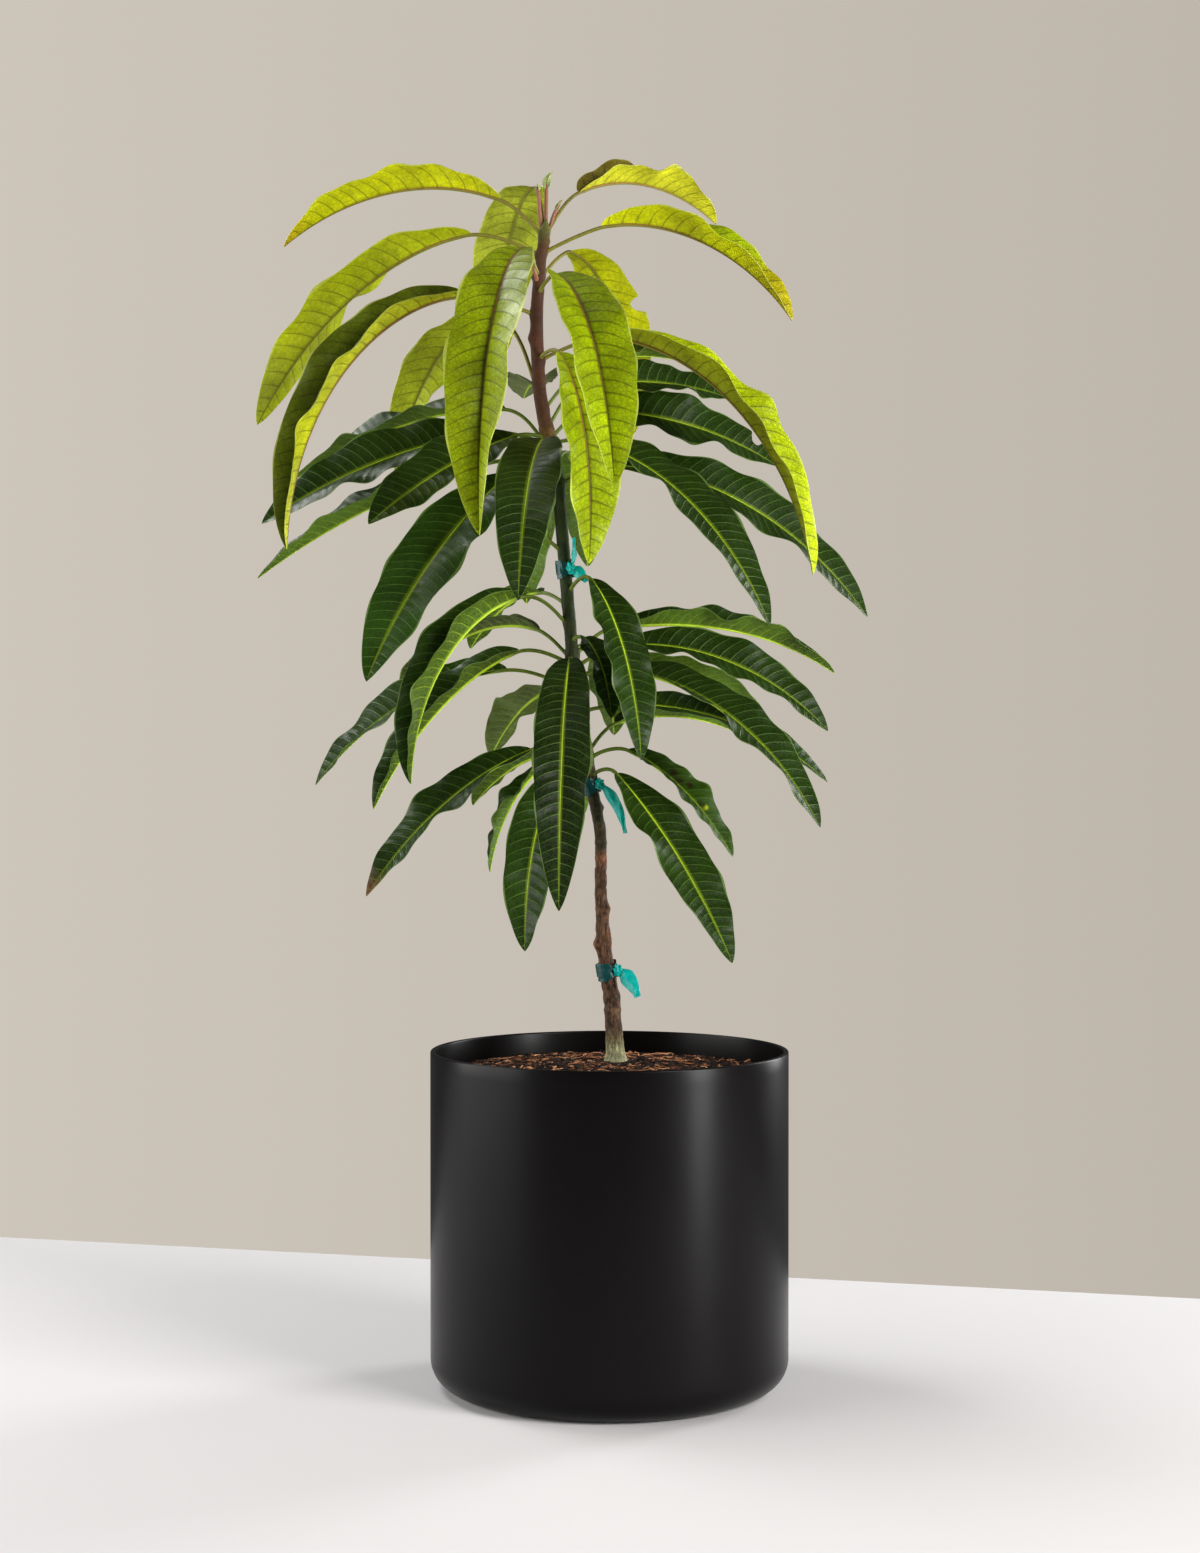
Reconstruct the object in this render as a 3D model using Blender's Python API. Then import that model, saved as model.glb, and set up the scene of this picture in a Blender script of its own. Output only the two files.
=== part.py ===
"""A young mango tree in a round nursery pot.

The origin is the middle of the pot's flat underside, with +Z up, +X to the
right and +Y to the back. Lengths are in metres and angles in degrees.
"""
from collections import namedtuple
from math import cos, pi, radians, sin

import bmesh
import bpy
from mathutils import Matrix, Vector

# Touching pieces keep this gap.
GAP = 0.0003
# Edges sharper than this many degrees are not shaded smooth.
BODY_SHARP_ANGLE = 35

# Pot
POT_RADIUS = 0.140
POT_HEIGHT = 0.262
POT_WALL = 0.004
POT_FLOOR = 0.005
POT_BASE_ROUND = 0.023
POT_RIM_ROUND = 0.0012
POT_SIDES = 56

# Soil: level at the wall, with a low mound whose top is flat
SOIL_EDGE_HEIGHT = 0.243
SOIL_TOP_HEIGHT = 0.250
SOIL_TOP_RADIUS = 0.036
SOIL_SHOULDER_RADIUS = 0.085

# Stem: height, x, y and radius, from the flat cut on the soil to the bud
STEM_ROWS = [
    (0.2503, 0.0051, 0.016, 0.0094),
    (0.2600, 0.0046, 0.016, 0.0074),
    (0.2956, 0.0020, 0.014, 0.0066),
    (0.3418, -0.0039, 0.012, 0.0061),
    (0.3856, -0.0066, 0.010, 0.0050),
    (0.4333, -0.0074, 0.008, 0.0048),
    (0.4731, -0.0152, 0.006, 0.0048),
    (0.5044, -0.0192, 0.004, 0.0049),
    (0.5513, -0.0270, 0.002, 0.0050),
    (0.6131, -0.0325, 0.000, 0.0050),
    (0.6765, -0.0379, 0.000, 0.0050),
    (0.7109, -0.0411, 0.000, 0.0052),
    (0.7414, -0.0481, 0.000, 0.0055),
    (0.7703, -0.0536, 0.000, 0.0053),
    (0.7985, -0.0559, 0.000, 0.0052),
    (0.8383, -0.0567, 0.000, 0.0050),
    (0.8782, -0.0536, 0.000, 0.0043),
    (0.9020, -0.0504, 0.000, 0.0036),
    (0.9110, -0.0494, 0.000, 0.0008),
]
STEM_SIDES = 12
STEM_STEP = 0.020

# Leaves
STALK_BASE_RADIUS = 0.0021
STALK_RADIUS = 0.0015
STALK_STATIONS = 3
BLADE_STATIONS = 12
TIP_HALF_WIDTH = 0.0012
LEAF_SHARP_ANGLE = 60
# A blade's thickness as a share of its length
BLADE_THICKNESS = 1 / 95
# Exponents of the blade's outline: its base and its tip
OUTLINE_BASE = 0.65
OUTLINE_TIP = 0.75
# Waves of the margin along one blade, and how far a leaf's turn shifts them
MARGIN_WAVES = 2.5
MARGIN_SHIFT = 3

# Tape ties
TAPE_WIDTH = 0.013
TAPE_THICKNESS = 0.0012
KNOT_RADIUS = 0.0042
# How far the knot's centre stands off the band, as a share of its radius
KNOT_OFFSET = 0.6
BAND_SIDES = 14
# The band stands clear of the stem's widest point under it
BAND_EASE = 1.06
TAIL_STEPS = 4
TAIL_TAPER = 0.6

# One loose end of a tie: its turn, first angle above level, bend, length and width
Tail = namedtuple("Tail", "turn angle bend length width")
# One tie: its height on the stem, the side of its knot and its tails
Tie = namedtuple("Tie", "name height turn tails")
TIES = [
    Tie("tie_top", 0.638, 300, [Tail(290, 62, 30, 0.024, 0.006), Tail(-30, -25, -30, 0.018, 0.008)]),
    Tie("tie_middle", 0.469, 320, [Tail(325, -38, -42, 0.046, 0.008)]),
    Tie("tie_bottom", 0.323, 320, [Tail(325, -30, -35, 0.028, 0.011)]),
]

# One leaf: height on the stem, turn about the stem (0 is +X, 90 the back), the
# stalk's first angle above level (lift) and length, the blade's angle where it
# starts (rise) and ends (fall) and how early it bends (ease), its length and
# width, its sideways swing, its roll about the midrib with the change towards
# the tip (twist), the angle that each half is folded up at the base (fold) and
# the tip (fold_tip), and the height of the waves of its margin
Leaf = namedtuple(
    "Leaf",
    "name height turn lift stalk rise fall ease length width swing roll twist fold fold_tip wave",
    defaults=(0, 0, 0, 30, 20, 0.002),
)

TOP_LEAVES = [
    Leaf("top_leaf_1", 0.900, 170, 48, 0.040, 26, -38, 0.8, 0.188, 0.050, 0, 0, 0, 45, 30),
    Leaf("top_leaf_2", 0.884, 180, 25, 0.052, -2, -62, 0.55, 0.232, 0.056, -8, 5, 35, 36, 12),
    Leaf("top_leaf_3", 0.838, 197, 12, 0.050, 8, -88, 0.55, 0.266, 0.054, 0, -25, 0, 46, 56),
    Leaf("top_leaf_4", 0.785, 135, 68, 0.075, 20, -75, 0.5, 0.180, 0.052, 0, 0, 0, 12, 12),
    Leaf("top_leaf_5", 0.902, 108, 75, 0.045, 30, -85, 0.5, 0.190, 0.054, 0, 0, 0, 10, 10),
    Leaf("top_leaf_6", 0.868, 253, 30, 0.035, 5, -95, 0.42, 0.268, 0.062, 0, -6, 26, 14, 42),
    Leaf("top_leaf_7", 0.855, 292, 20, 0.030, 0, -82, 0.5, 0.225, 0.058, 0, 0, 0, 24, 28),
    Leaf("top_leaf_8", 0.803, 300, 15, 0.030, -35, -98, 0.6, 0.178, 0.051),
    Leaf("top_leaf_9", 0.868, 56, 42, 0.042, 20, -95, 0.5, 0.185, 0.052, 0, 0, 0, 15, 10),
    Leaf("top_leaf_10", 0.902, 42, 58, 0.047, 28, -28, 0.9, 0.158, 0.052, 0, 10, 0, 40, 35),
    Leaf("top_leaf_11", 0.887, -8, 25, 0.045, 15, -56, 0.7, 0.176, 0.052, 0, -5, 30, 42, 35),
    Leaf("top_leaf_12", 0.802, -20, 22, 0.050, 2, -80, 0.65, 0.270, 0.056, 0, 5, 0, 45, 27),
]

UPPER_LEAVES = [
    Leaf("upper_leaf_1", 0.741, 158, 54, 0.040, 8, -30, 0.7, 0.200, 0.045, 0, -20, 0, 30, 25),
    Leaf("upper_leaf_2", 0.738, 180, 20, 0.040, -6, -34, 0.8, 0.195, 0.052, 0, -48, 0, 25, 20),
    Leaf("upper_leaf_3", 0.742, 218, 5, 0.025, -18, -38, 0.8, 0.156, 0.052, 0, -32, 0, 18, 15),
    Leaf("upper_leaf_4", 0.726, 172, 0, 0.045, -12, -36, 0.8, 0.208, 0.048, 0, -15, 0, 38, 30),
    Leaf("upper_leaf_5", 0.718, 226, 0, 0.045, -34, -62, 1.0, 0.220, 0.058, 0, -25, 0, 18, 15),
    Leaf("upper_leaf_6", 0.735, 264, 5, 0.030, -9, -75, 1.0, 0.208, 0.049, 0, 0, 0, 18, 15),
    Leaf("upper_leaf_7", 0.757, 97, 45, 0.045, 20, -8, 0.8, 0.130, 0.046),
    Leaf("upper_leaf_8", 0.735, -32, 10, 0.015, -5, -65, 0.7, 0.238, 0.052, 0, 15, 0, 20, 15),
    Leaf("upper_leaf_9", 0.706, 8, 25, 0.040, 3, -54, 0.75, 0.244, 0.054, 0, 45, 0, 22, 15),
    Leaf("upper_leaf_10", 0.742, 14, 50, 0.030, 8, -30, 0.8, 0.165, 0.052, 0, 50, 0, 20, 15),
    Leaf("upper_leaf_11", 0.752, 24, 62, 0.040, 15, -15, 0.9, 0.132, 0.046, 0, 40, 0, 25, 15),
    Leaf("upper_leaf_12", 0.765, 38, 50, 0.042, 28, -8, 1.0, 0.110, 0.042, 0, 15),
    Leaf("upper_leaf_13", 0.715, 102, 20, 0.040, -10, -80, 0.7, 0.140, 0.045),
    Leaf("upper_leaf_14", 0.720, 78, 30, 0.040, 0, -80, 0.7, 0.125, 0.044),
]

MIDDLE_LEAVES = [
    Leaf("middle_leaf_1", 0.598, 208, 45, 0.038, -2, -88, 0.6, 0.188, 0.050, 0, -8, 0, 55, 60),
    Leaf("middle_leaf_2", 0.572, 155, 46, 0.030, 25, -60, 0.7, 0.155, 0.046),
    Leaf("middle_leaf_3", 0.566, 193, 25, 0.038, -12, -64, 0.5, 0.172, 0.046, 0, -15, 0, 40, 45),
    Leaf("middle_leaf_4", 0.546, 168, 25, 0.052, -2, -52, 0.8, 0.188, 0.045, 0, -35, 0, 30, 20),
    Leaf("middle_leaf_5", 0.542, 120, 10, 0.035, -5, -45, 0.8, 0.120, 0.042),
    Leaf("middle_leaf_6", 0.567, 267, 5, 0.030, -10, -88, 0.7, 0.240, 0.044, 0, 0, 0, 18, 12),
    Leaf("middle_leaf_7", 0.622, 304, 34, 0.030, -30, -84, 0.6, 0.160, 0.038, 0, 10, 0, 22, 15),
    Leaf("middle_leaf_8", 0.584, 295, 5, 0.018, -15, -80, 0.8, 0.085, 0.030),
    Leaf("middle_leaf_9", 0.573, 15, 45, 0.038, 6, -33, 1.3, 0.188, 0.046, 0, 10, 0, 42, 36),
    Leaf("middle_leaf_10", 0.563, -5, 32, 0.038, 5, -48, 0.9, 0.178, 0.046, 0, 40, 0, 25, 20),
    Leaf("middle_leaf_11", 0.553, -28, 20, 0.025, 0, -61, 0.8, 0.225, 0.050, 0, 15, 0, 25, 20),
    Leaf("middle_leaf_12", 0.527, 12, 10, 0.030, 2, -42, 1.0, 0.182, 0.046, 0, 30, 0, 20, 15),
    Leaf("middle_leaf_13", 0.560, 95, 10, 0.040, -10, -80, 0.7, 0.190, 0.048),
    Leaf("middle_leaf_14", 0.575, 66, 20, 0.030, -15, -85, 0.7, 0.090, 0.040),
    Leaf("middle_leaf_15", 0.553, 38, 25, 0.040, 5, -40, 0.8, 0.180, 0.046),
    Leaf("middle_leaf_16", 0.612, 128, 25, 0.030, 5, -45, 0.8, 0.110, 0.040),
]

LOWER_LEAVES = [
    Leaf("lower_leaf_1", 0.498, 192, 8, 0.038, -18, -57, 0.7, 0.175, 0.042, 0, -30, 0, 25, 20),
    Leaf("lower_leaf_2", 0.489, 216, 5, 0.035, -25, -80, 0.7, 0.100, 0.028, 0, 0, 40, 35, 30),
    Leaf("lower_leaf_3", 0.485, 244, 0, 0.040, -20, -92, 0.6, 0.155, 0.042, 0, -10, 0, 20, 15),
    Leaf("lower_leaf_4", 0.492, -15, 22, 0.028, -18, -60, 0.6, 0.120, 0.042, 0, 15, 0, 20, 15),
    Leaf("lower_leaf_5", 0.478, -44, 20, 0.025, -38, -60, 0.9, 0.186, 0.048, 0, 15, 0, 20, 15),
    Leaf("lower_leaf_6", 0.497, 46, 45, 0.035, 15, -15, 0.8, 0.140, 0.042),
    Leaf("lower_leaf_7", 0.490, 100, 15, 0.040, -10, -75, 0.7, 0.150, 0.044),
    Leaf("lower_leaf_8", 0.492, 142, 10, 0.030, -5, -45, 0.8, 0.095, 0.038),
]


def clear_scene():
    for item in list(bpy.data.objects):
        bpy.data.objects.remove(item, do_unlink=True)


def make_material(name, color, roughness, metallic=0.0):
    material = bpy.data.materials.new(name)
    material.use_nodes = True
    shader = material.node_tree.nodes["Principled BSDF"]
    shader.inputs["Base Color"].default_value = (*color, 1.0)
    shader.inputs["Roughness"].default_value = roughness
    shader.inputs["Metallic"].default_value = metallic
    return material


def add_object(name, mesh_data, material, sharp_angle=BODY_SHARP_ANGLE):
    """Turn a bmesh into one named, smooth-shaded object."""
    bmesh.ops.recalc_face_normals(mesh_data, faces=mesh_data.faces)
    mesh = bpy.data.meshes.new(name)
    mesh_data.to_mesh(mesh)
    mesh_data.free()
    mesh.shade_smooth()
    mesh.set_sharp_from_angle(angle=radians(sharp_angle))
    mesh.materials.append(material)
    item = bpy.data.objects.new(name, mesh)
    bpy.context.scene.collection.objects.link(item)
    return item


def loft(rings, closed=False):
    """Join rings of the same number of points into one skin, with ends or run round to the start."""
    skin = bmesh.new()
    rows = [[skin.verts.new(point) for point in ring] for ring in rings]
    count = len(rows[0])
    for lower, upper in zip(rows, rows[1:] + rows[:1] if closed else rows[1:]):
        for i in range(count):
            j = (i + 1) % count
            skin.faces.new((lower[i], lower[j], upper[j], upper[i]))
    if not closed:
        skin.faces.new(rows[0])
        skin.faces.new(rows[-1])
    return skin


def arc(centre_r, centre_z, radius, start, end, steps):
    """Points of a round corner in a turned profile, as radius and height."""
    points = []
    for i in range(steps + 1):
        angle = radians(start + (end - start) * i / steps)
        points.append((centre_r + radius * cos(angle), centre_z + radius * sin(angle)))
    return points


def turned_solid(profile, sides):
    """Turn a profile that starts and ends on the axis about the Z axis."""
    solid = bmesh.new()
    rows = []
    for radius, height in profile:
        if radius == 0:
            rows.append([solid.verts.new((0, 0, height))])
        else:
            rows.append([
                solid.verts.new((radius * cos(2 * pi * i / sides), radius * sin(2 * pi * i / sides), height))
                for i in range(sides)
            ])
    for lower, upper in zip(rows, rows[1:]):
        for i in range(sides):
            j = (i + 1) % sides
            if len(lower) == 1:
                solid.faces.new((lower[0], upper[j], upper[i]))
            elif len(upper) == 1:
                solid.faces.new((lower[i], lower[j], upper[0]))
            else:
                solid.faces.new((lower[i], lower[j], upper[j], upper[i]))
    return solid


def pot_profile():
    inner = POT_RADIUS - POT_WALL
    inner_round = POT_BASE_ROUND - POT_WALL
    profile = [(0, 0)]
    profile += arc(POT_RADIUS - POT_BASE_ROUND, POT_BASE_ROUND, POT_BASE_ROUND, -90, 0, 6)
    profile += arc(POT_RADIUS - POT_RIM_ROUND, POT_HEIGHT - POT_RIM_ROUND, POT_RIM_ROUND, 0, 90, 2)
    profile += arc(inner + POT_RIM_ROUND, POT_HEIGHT - POT_RIM_ROUND, POT_RIM_ROUND, 90, 180, 2)
    profile += arc(inner - inner_round, POT_FLOOR + inner_round, inner_round, 0, -90, 4)
    profile += [(0, POT_FLOOR)]
    return profile


def soil_profile():
    outer = POT_RADIUS - POT_WALL - GAP
    base_round = POT_BASE_ROUND - POT_WALL
    bottom = POT_FLOOR + GAP
    shoulder_height = (SOIL_EDGE_HEIGHT + SOIL_TOP_HEIGHT) / 2
    profile = [(0, bottom)]
    profile += arc(outer - base_round, bottom + base_round, base_round, -90, 0, 4)
    profile += [(outer, SOIL_EDGE_HEIGHT), (SOIL_SHOULDER_RADIUS, shoulder_height)]
    profile += [(SOIL_TOP_RADIUS, SOIL_TOP_HEIGHT), (0, SOIL_TOP_HEIGHT)]
    return profile


def stem_at(height):
    """The stem's centre and radius at a height, on a smooth curve through its rows."""
    rows = STEM_ROWS
    height = min(max(height, rows[0][0]), rows[-1][0])
    k = 0
    while k < len(rows) - 2 and height > rows[k + 1][0]:
        k += 1
    before, start, end, after = rows[max(k - 1, 0)], rows[k], rows[k + 1], rows[min(k + 2, len(rows) - 1)]
    span = end[0] - start[0]
    t = (height - start[0]) / span
    values = []
    for c in (1, 2, 3):
        slope_start = (end[c] - before[c]) / (end[0] - before[0])
        slope_end = (after[c] - start[c]) / (after[0] - start[0])
        values.append(
            (2 * t ** 3 - 3 * t ** 2 + 1) * start[c] + (t ** 3 - 2 * t ** 2 + t) * span * slope_start
            + (3 * t ** 2 - 2 * t ** 3) * end[c] + (t ** 3 - t ** 2) * span * slope_end
        )
    return Vector((values[0], values[1], height)), values[2]


def stem_direction(height):
    reach = 0.004
    return (stem_at(height + reach)[0] - stem_at(height - reach)[0]).normalized()


def make_stem(material):
    """The stem from its flat cut on the soil to its bud, with level cross-sections."""
    foot, top = STEM_ROWS[0][0], STEM_ROWS[-1][0]
    heights = sorted({row[0] for row in STEM_ROWS} | {
        foot + STEM_STEP * i for i in range(int((top - foot) / STEM_STEP) + 1)
    })
    kept = [heights[0]]
    for height in heights[1:]:
        if height - kept[-1] > STEM_STEP / 4:
            kept.append(height)
    kept[-1] = top
    rings = []
    for height in kept:
        centre, radius = stem_at(height)
        rings.append([
            centre + Vector((radius * cos(2 * pi * i / STEM_SIDES), radius * sin(2 * pi * i / STEM_SIDES), 0))
            for i in range(STEM_SIDES)
        ])
    return add_object("stem", loft(rings), material)


def heading(turn, angle):
    return Vector((cos(radians(angle)) * cos(radians(turn)), cos(radians(angle)) * sin(radians(turn)),
                   sin(radians(angle))))


def blade_half_width(leaf, s):
    peak = OUTLINE_BASE / (OUTLINE_BASE + OUTLINE_TIP)
    highest = peak ** OUTLINE_BASE * (1 - peak) ** OUTLINE_TIP
    share = s ** OUTLINE_BASE * (1 - s) ** OUTLINE_TIP / highest
    return max(leaf.width / 2 * share, TIP_HALF_WIDTH if s > peak else STALK_RADIUS)


def leaf_spine(leaf):
    """Stations from the stem to the tip: point, side, up, and the share s along the blade.

    On the stalk s is below 0, from -1 at the stem.
    """
    centre, radius = stem_at(leaf.height)
    along_stem = stem_direction(leaf.height)
    level = heading(leaf.turn, 0)
    outward = (level - along_stem * level.dot(along_stem)).normalized()
    point = centre + outward * (radius + GAP)
    stations = [(point, along_stem.cross(outward), along_stem, -1.0)]
    for i in range(1, STALK_STATIONS + 1):
        t = i / STALK_STATIONS
        angle = leaf.lift + (leaf.rise - leaf.lift) * (t - 0.5 / STALK_STATIONS) ** 2
        point = point + heading(leaf.turn, angle) * leaf.stalk / STALK_STATIONS
        stations.append((point, *section_axes(leaf, angle, leaf.turn, leaf.roll * t), t - 1))
    for i in range(1, BLADE_STATIONS + 1):
        s = i / BLADE_STATIONS
        middle = s - 0.5 / BLADE_STATIONS
        angle = leaf.rise + (leaf.fall - leaf.rise) * middle ** leaf.ease
        turn = leaf.turn + leaf.swing * middle
        point = point + heading(turn, angle) * leaf.length / BLADE_STATIONS
        stations.append((point, *section_axes(leaf, angle, turn, leaf.roll + leaf.twist * s), s))
    return stations


def section_axes(leaf, angle, turn, roll):
    forward = heading(turn, angle)
    side = Vector((-sin(radians(turn)), cos(radians(turn)), 0))
    up = forward.cross(side)
    turned = side * cos(radians(roll)) + up * sin(radians(roll))
    return turned, up * cos(radians(roll)) - side * sin(radians(roll))


def leaf_section(leaf, point, side, up, s):
    """Six points round the stalk or the folded blade."""
    if s <= 0:
        radius = STALK_RADIUS + (STALK_BASE_RADIUS - STALK_RADIUS) * max(-s, 0) ** 2
        return [
            point + side * radius * cos(radians(angle)) + up * radius * sin(radians(angle))
            for angle in (30, 90, 150, 210, 270, 330)
        ]
    half = blade_half_width(leaf, s)
    thick = leaf.length * BLADE_THICKNESS / 2
    fold = radians(leaf.fold + (leaf.fold_tip - leaf.fold) * s)
    ripple = leaf.wave * sin(pi * s) * sin(2 * pi * MARGIN_WAVES * s + radians(leaf.turn * MARGIN_SHIFT))
    out_left = side * cos(fold) + up * sin(fold)
    out_right = up * sin(fold) - side * cos(fold)
    lift_left = up * cos(fold) - side * sin(fold)
    lift_right = up * cos(fold) + side * sin(fold)
    left = point + out_left * half + lift_left * ripple
    right = point + out_right * half - lift_right * ripple
    middle = up * thick / cos(fold)
    return [
        left + lift_left * thick, point + middle, right + lift_right * thick,
        right - lift_right * thick, point - middle, left - lift_left * thick,
    ]


def make_leaf(leaf, material):
    rings = [leaf_section(leaf, *station) for station in leaf_spine(leaf)]
    return add_object(leaf.name, loft(rings), material, LEAF_SHARP_ANGLE)


def make_tail(start, tail, material):
    """A strip of tape that leaves the knot, narrows and bends as it goes."""
    point = Vector(start)
    rings = []
    for i in range(TAIL_STEPS + 1):
        t = i / TAIL_STEPS
        forward = heading(tail.turn, tail.angle + tail.bend * t)
        side = Vector((-sin(radians(tail.turn)), cos(radians(tail.turn)), 0))
        flat = forward.cross(side)
        across = flat * tail.width / 2 * (1 - TAIL_TAPER * t)
        through = side * TAPE_THICKNESS / 2
        rings.append([point + across + through, point - across + through,
                      point - across - through, point + across - through])
        point = point + forward * tail.length / TAIL_STEPS
    return add_object("tail", loft(rings), material)


def fuse_pieces(base, pieces):
    """Fuse the pieces into the base with one Boolean union each."""
    for piece in pieces:
        fuse = base.modifiers.new("fuse", "BOOLEAN")
        fuse.operation = "UNION"
        fuse.solver = "EXACT"
        fuse.object = piece
        depsgraph = bpy.context.evaluated_depsgraph_get()
        fused = bpy.data.meshes.new_from_object(base.evaluated_get(depsgraph))
        base.modifiers.remove(fuse)
        base.data = fused
        bpy.data.objects.remove(piece, do_unlink=True)


def make_tie(tie, material):
    """A band of tape snug round the stem, its knot and its loose tails, fused."""
    centre, radius = stem_at(tie.height)
    along = stem_direction(tie.height)
    outward = (heading(tie.turn, 0) - along * along.dot(heading(tie.turn, 0))).normalized()
    across = along.cross(outward)
    rings = []
    # The band's section runs round its inner face and back round its outer face
    inner = radius * BAND_EASE + GAP
    outer = inner + TAPE_THICKNESS
    section = [(inner, -0.5), (outer, -0.5), (outer, 0.5), (inner, 0.5)]
    for i in range(BAND_SIDES):
        angle = 2 * pi * i / BAND_SIDES
        ray = outward * cos(angle) + across * sin(angle)
        rings.append([centre + ray * reach + along * TAPE_WIDTH * share for reach, share in section])
    band = add_object(tie.name, loft(rings, closed=True), material)
    knot_centre = centre + outward * (outer + KNOT_RADIUS * KNOT_OFFSET)
    knot_mesh = bmesh.new()
    bmesh.ops.create_icosphere(knot_mesh, subdivisions=1, radius=KNOT_RADIUS,
                               matrix=Matrix.Translation(knot_centre))
    pieces = [add_object("knot", knot_mesh, material)]
    for tail in tie.tails:
        pieces.append(make_tail(knot_centre, tail, material))
    fuse_pieces(band, pieces)


def make_material_set():
    return {
        "young_leaf": make_material("young_leaf", (0.33, 0.42, 0.03), 0.45),
        "grown_leaf": make_material("grown_leaf", (0.03, 0.11, 0.04), 0.38),
        "bark": make_material("bark", (0.17, 0.10, 0.06), 0.75),
        "pot": make_material("pot", (0.012, 0.012, 0.013), 0.42),
        "soil": make_material("soil", (0.06, 0.035, 0.022), 0.95),
        "tape": make_material("tape", (0.02, 0.30, 0.27), 0.45),
    }


def main():
    clear_scene()
    materials = make_material_set()
    add_object("pot", turned_solid(pot_profile(), POT_SIDES), materials["pot"])
    add_object("soil", turned_solid(soil_profile(), POT_SIDES), materials["soil"])
    make_stem(materials["bark"])
    for leaf in TOP_LEAVES:
        make_leaf(leaf, materials["young_leaf"])
    for leaf in UPPER_LEAVES + MIDDLE_LEAVES + LOWER_LEAVES:
        make_leaf(leaf, materials["grown_leaf"])
    for tie in TIES:
        make_tie(tie, materials["tape"])


main()
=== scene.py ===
"""Looks of a young mango tree in a round nursery pot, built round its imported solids.

Metres, +Z up. The origin is the middle of the pot's flat underside, +X is to the
right and +Y to the back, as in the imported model. Angles are in degrees. The stem,
leaf and tie rows below are the same as in the part's source, and the finer
surfaces made here follow the same rules.
"""

import random
from collections import namedtuple
from math import cos, pi, radians, sin

import bpy
import numpy as np
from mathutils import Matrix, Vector, noise

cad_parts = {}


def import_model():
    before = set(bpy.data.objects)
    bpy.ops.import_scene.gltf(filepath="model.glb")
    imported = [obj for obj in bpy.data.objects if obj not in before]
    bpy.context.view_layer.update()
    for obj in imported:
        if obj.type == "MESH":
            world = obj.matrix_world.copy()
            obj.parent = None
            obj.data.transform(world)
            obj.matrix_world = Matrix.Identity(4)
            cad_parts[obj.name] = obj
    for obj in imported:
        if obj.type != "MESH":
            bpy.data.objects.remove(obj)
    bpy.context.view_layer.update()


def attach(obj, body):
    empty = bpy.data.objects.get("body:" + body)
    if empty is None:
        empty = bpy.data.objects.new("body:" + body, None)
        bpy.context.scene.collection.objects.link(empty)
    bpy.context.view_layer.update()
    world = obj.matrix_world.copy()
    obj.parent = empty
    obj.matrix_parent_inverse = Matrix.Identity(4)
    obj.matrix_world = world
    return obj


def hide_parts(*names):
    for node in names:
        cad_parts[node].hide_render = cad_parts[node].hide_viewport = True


BODY = "root"
GAP = 0.0003

# Camera: a little below the middle of the crown, tilted slightly down
CAMERA_PLACE = (-0.0074, -2.049, 0.4966)
CAMERA_TILT = 0.58
CAMERA_LENS = 60.73
CAMERA_SENSOR = 36

# Stage: the floor ends at a slanting line in front of the far wall
FLOOR_EDGE_LEFT = (-0.618, 0.617)
FLOOR_EDGE_RIGHT = (0.5345, 0.317)
FLOOR_REACH = 1.1

# Pot
POT_RADIUS = 0.140
POT_HEIGHT = 0.262
POT_WALL = 0.004
POT_FLOOR = 0.005
POT_BASE_ROUND = 0.023
POT_RIM_ROUND = 0.0012

# Soil: level at the wall, with a low mound whose top is flat
SOIL_EDGE_HEIGHT = 0.243
SOIL_TOP_HEIGHT = 0.250
SOIL_TOP_RADIUS = 0.036
SOIL_SHOULDER_RADIUS = 0.085

# Stem: height, x, y and radius, from the flat cut on the soil to the bud
STEM_ROWS = [
    (0.2503, 0.0051, 0.016, 0.0094),
    (0.2600, 0.0046, 0.016, 0.0074),
    (0.2956, 0.0020, 0.014, 0.0066),
    (0.3418, -0.0039, 0.012, 0.0061),
    (0.3856, -0.0066, 0.010, 0.0050),
    (0.4333, -0.0074, 0.008, 0.0048),
    (0.4731, -0.0152, 0.006, 0.0048),
    (0.5044, -0.0192, 0.004, 0.0049),
    (0.5513, -0.0270, 0.002, 0.0050),
    (0.6131, -0.0325, 0.000, 0.0050),
    (0.6765, -0.0379, 0.000, 0.0050),
    (0.7109, -0.0411, 0.000, 0.0052),
    (0.7414, -0.0481, 0.000, 0.0055),
    (0.7703, -0.0536, 0.000, 0.0053),
    (0.7985, -0.0559, 0.000, 0.0052),
    (0.8383, -0.0567, 0.000, 0.0050),
    (0.8782, -0.0536, 0.000, 0.0043),
    (0.9020, -0.0504, 0.000, 0.0036),
    (0.9110, -0.0494, 0.000, 0.0008),
]

# Exponents of the blade's outline: its base and its tip
OUTLINE_BASE = 0.65
OUTLINE_TIP = 0.75
# Waves of the margin along one blade, and how far a leaf's turn shifts them
MARGIN_WAVES = 2.5
MARGIN_SHIFT = 3

# Tape ties
TAPE_WIDTH = 0.013
TAPE_THICKNESS = 0.0012
KNOT_RADIUS = 0.0042
# How far the knot's centre stands off the band, as a share of its radius
KNOT_OFFSET = 0.6
# The band stands clear of the stem's widest point under it
BAND_EASE = 1.06
TAIL_TAPER = 0.6

# One loose end of a tie: its turn, first angle above level, bend, length and width
Tail = namedtuple("Tail", "turn angle bend length width")
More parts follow.
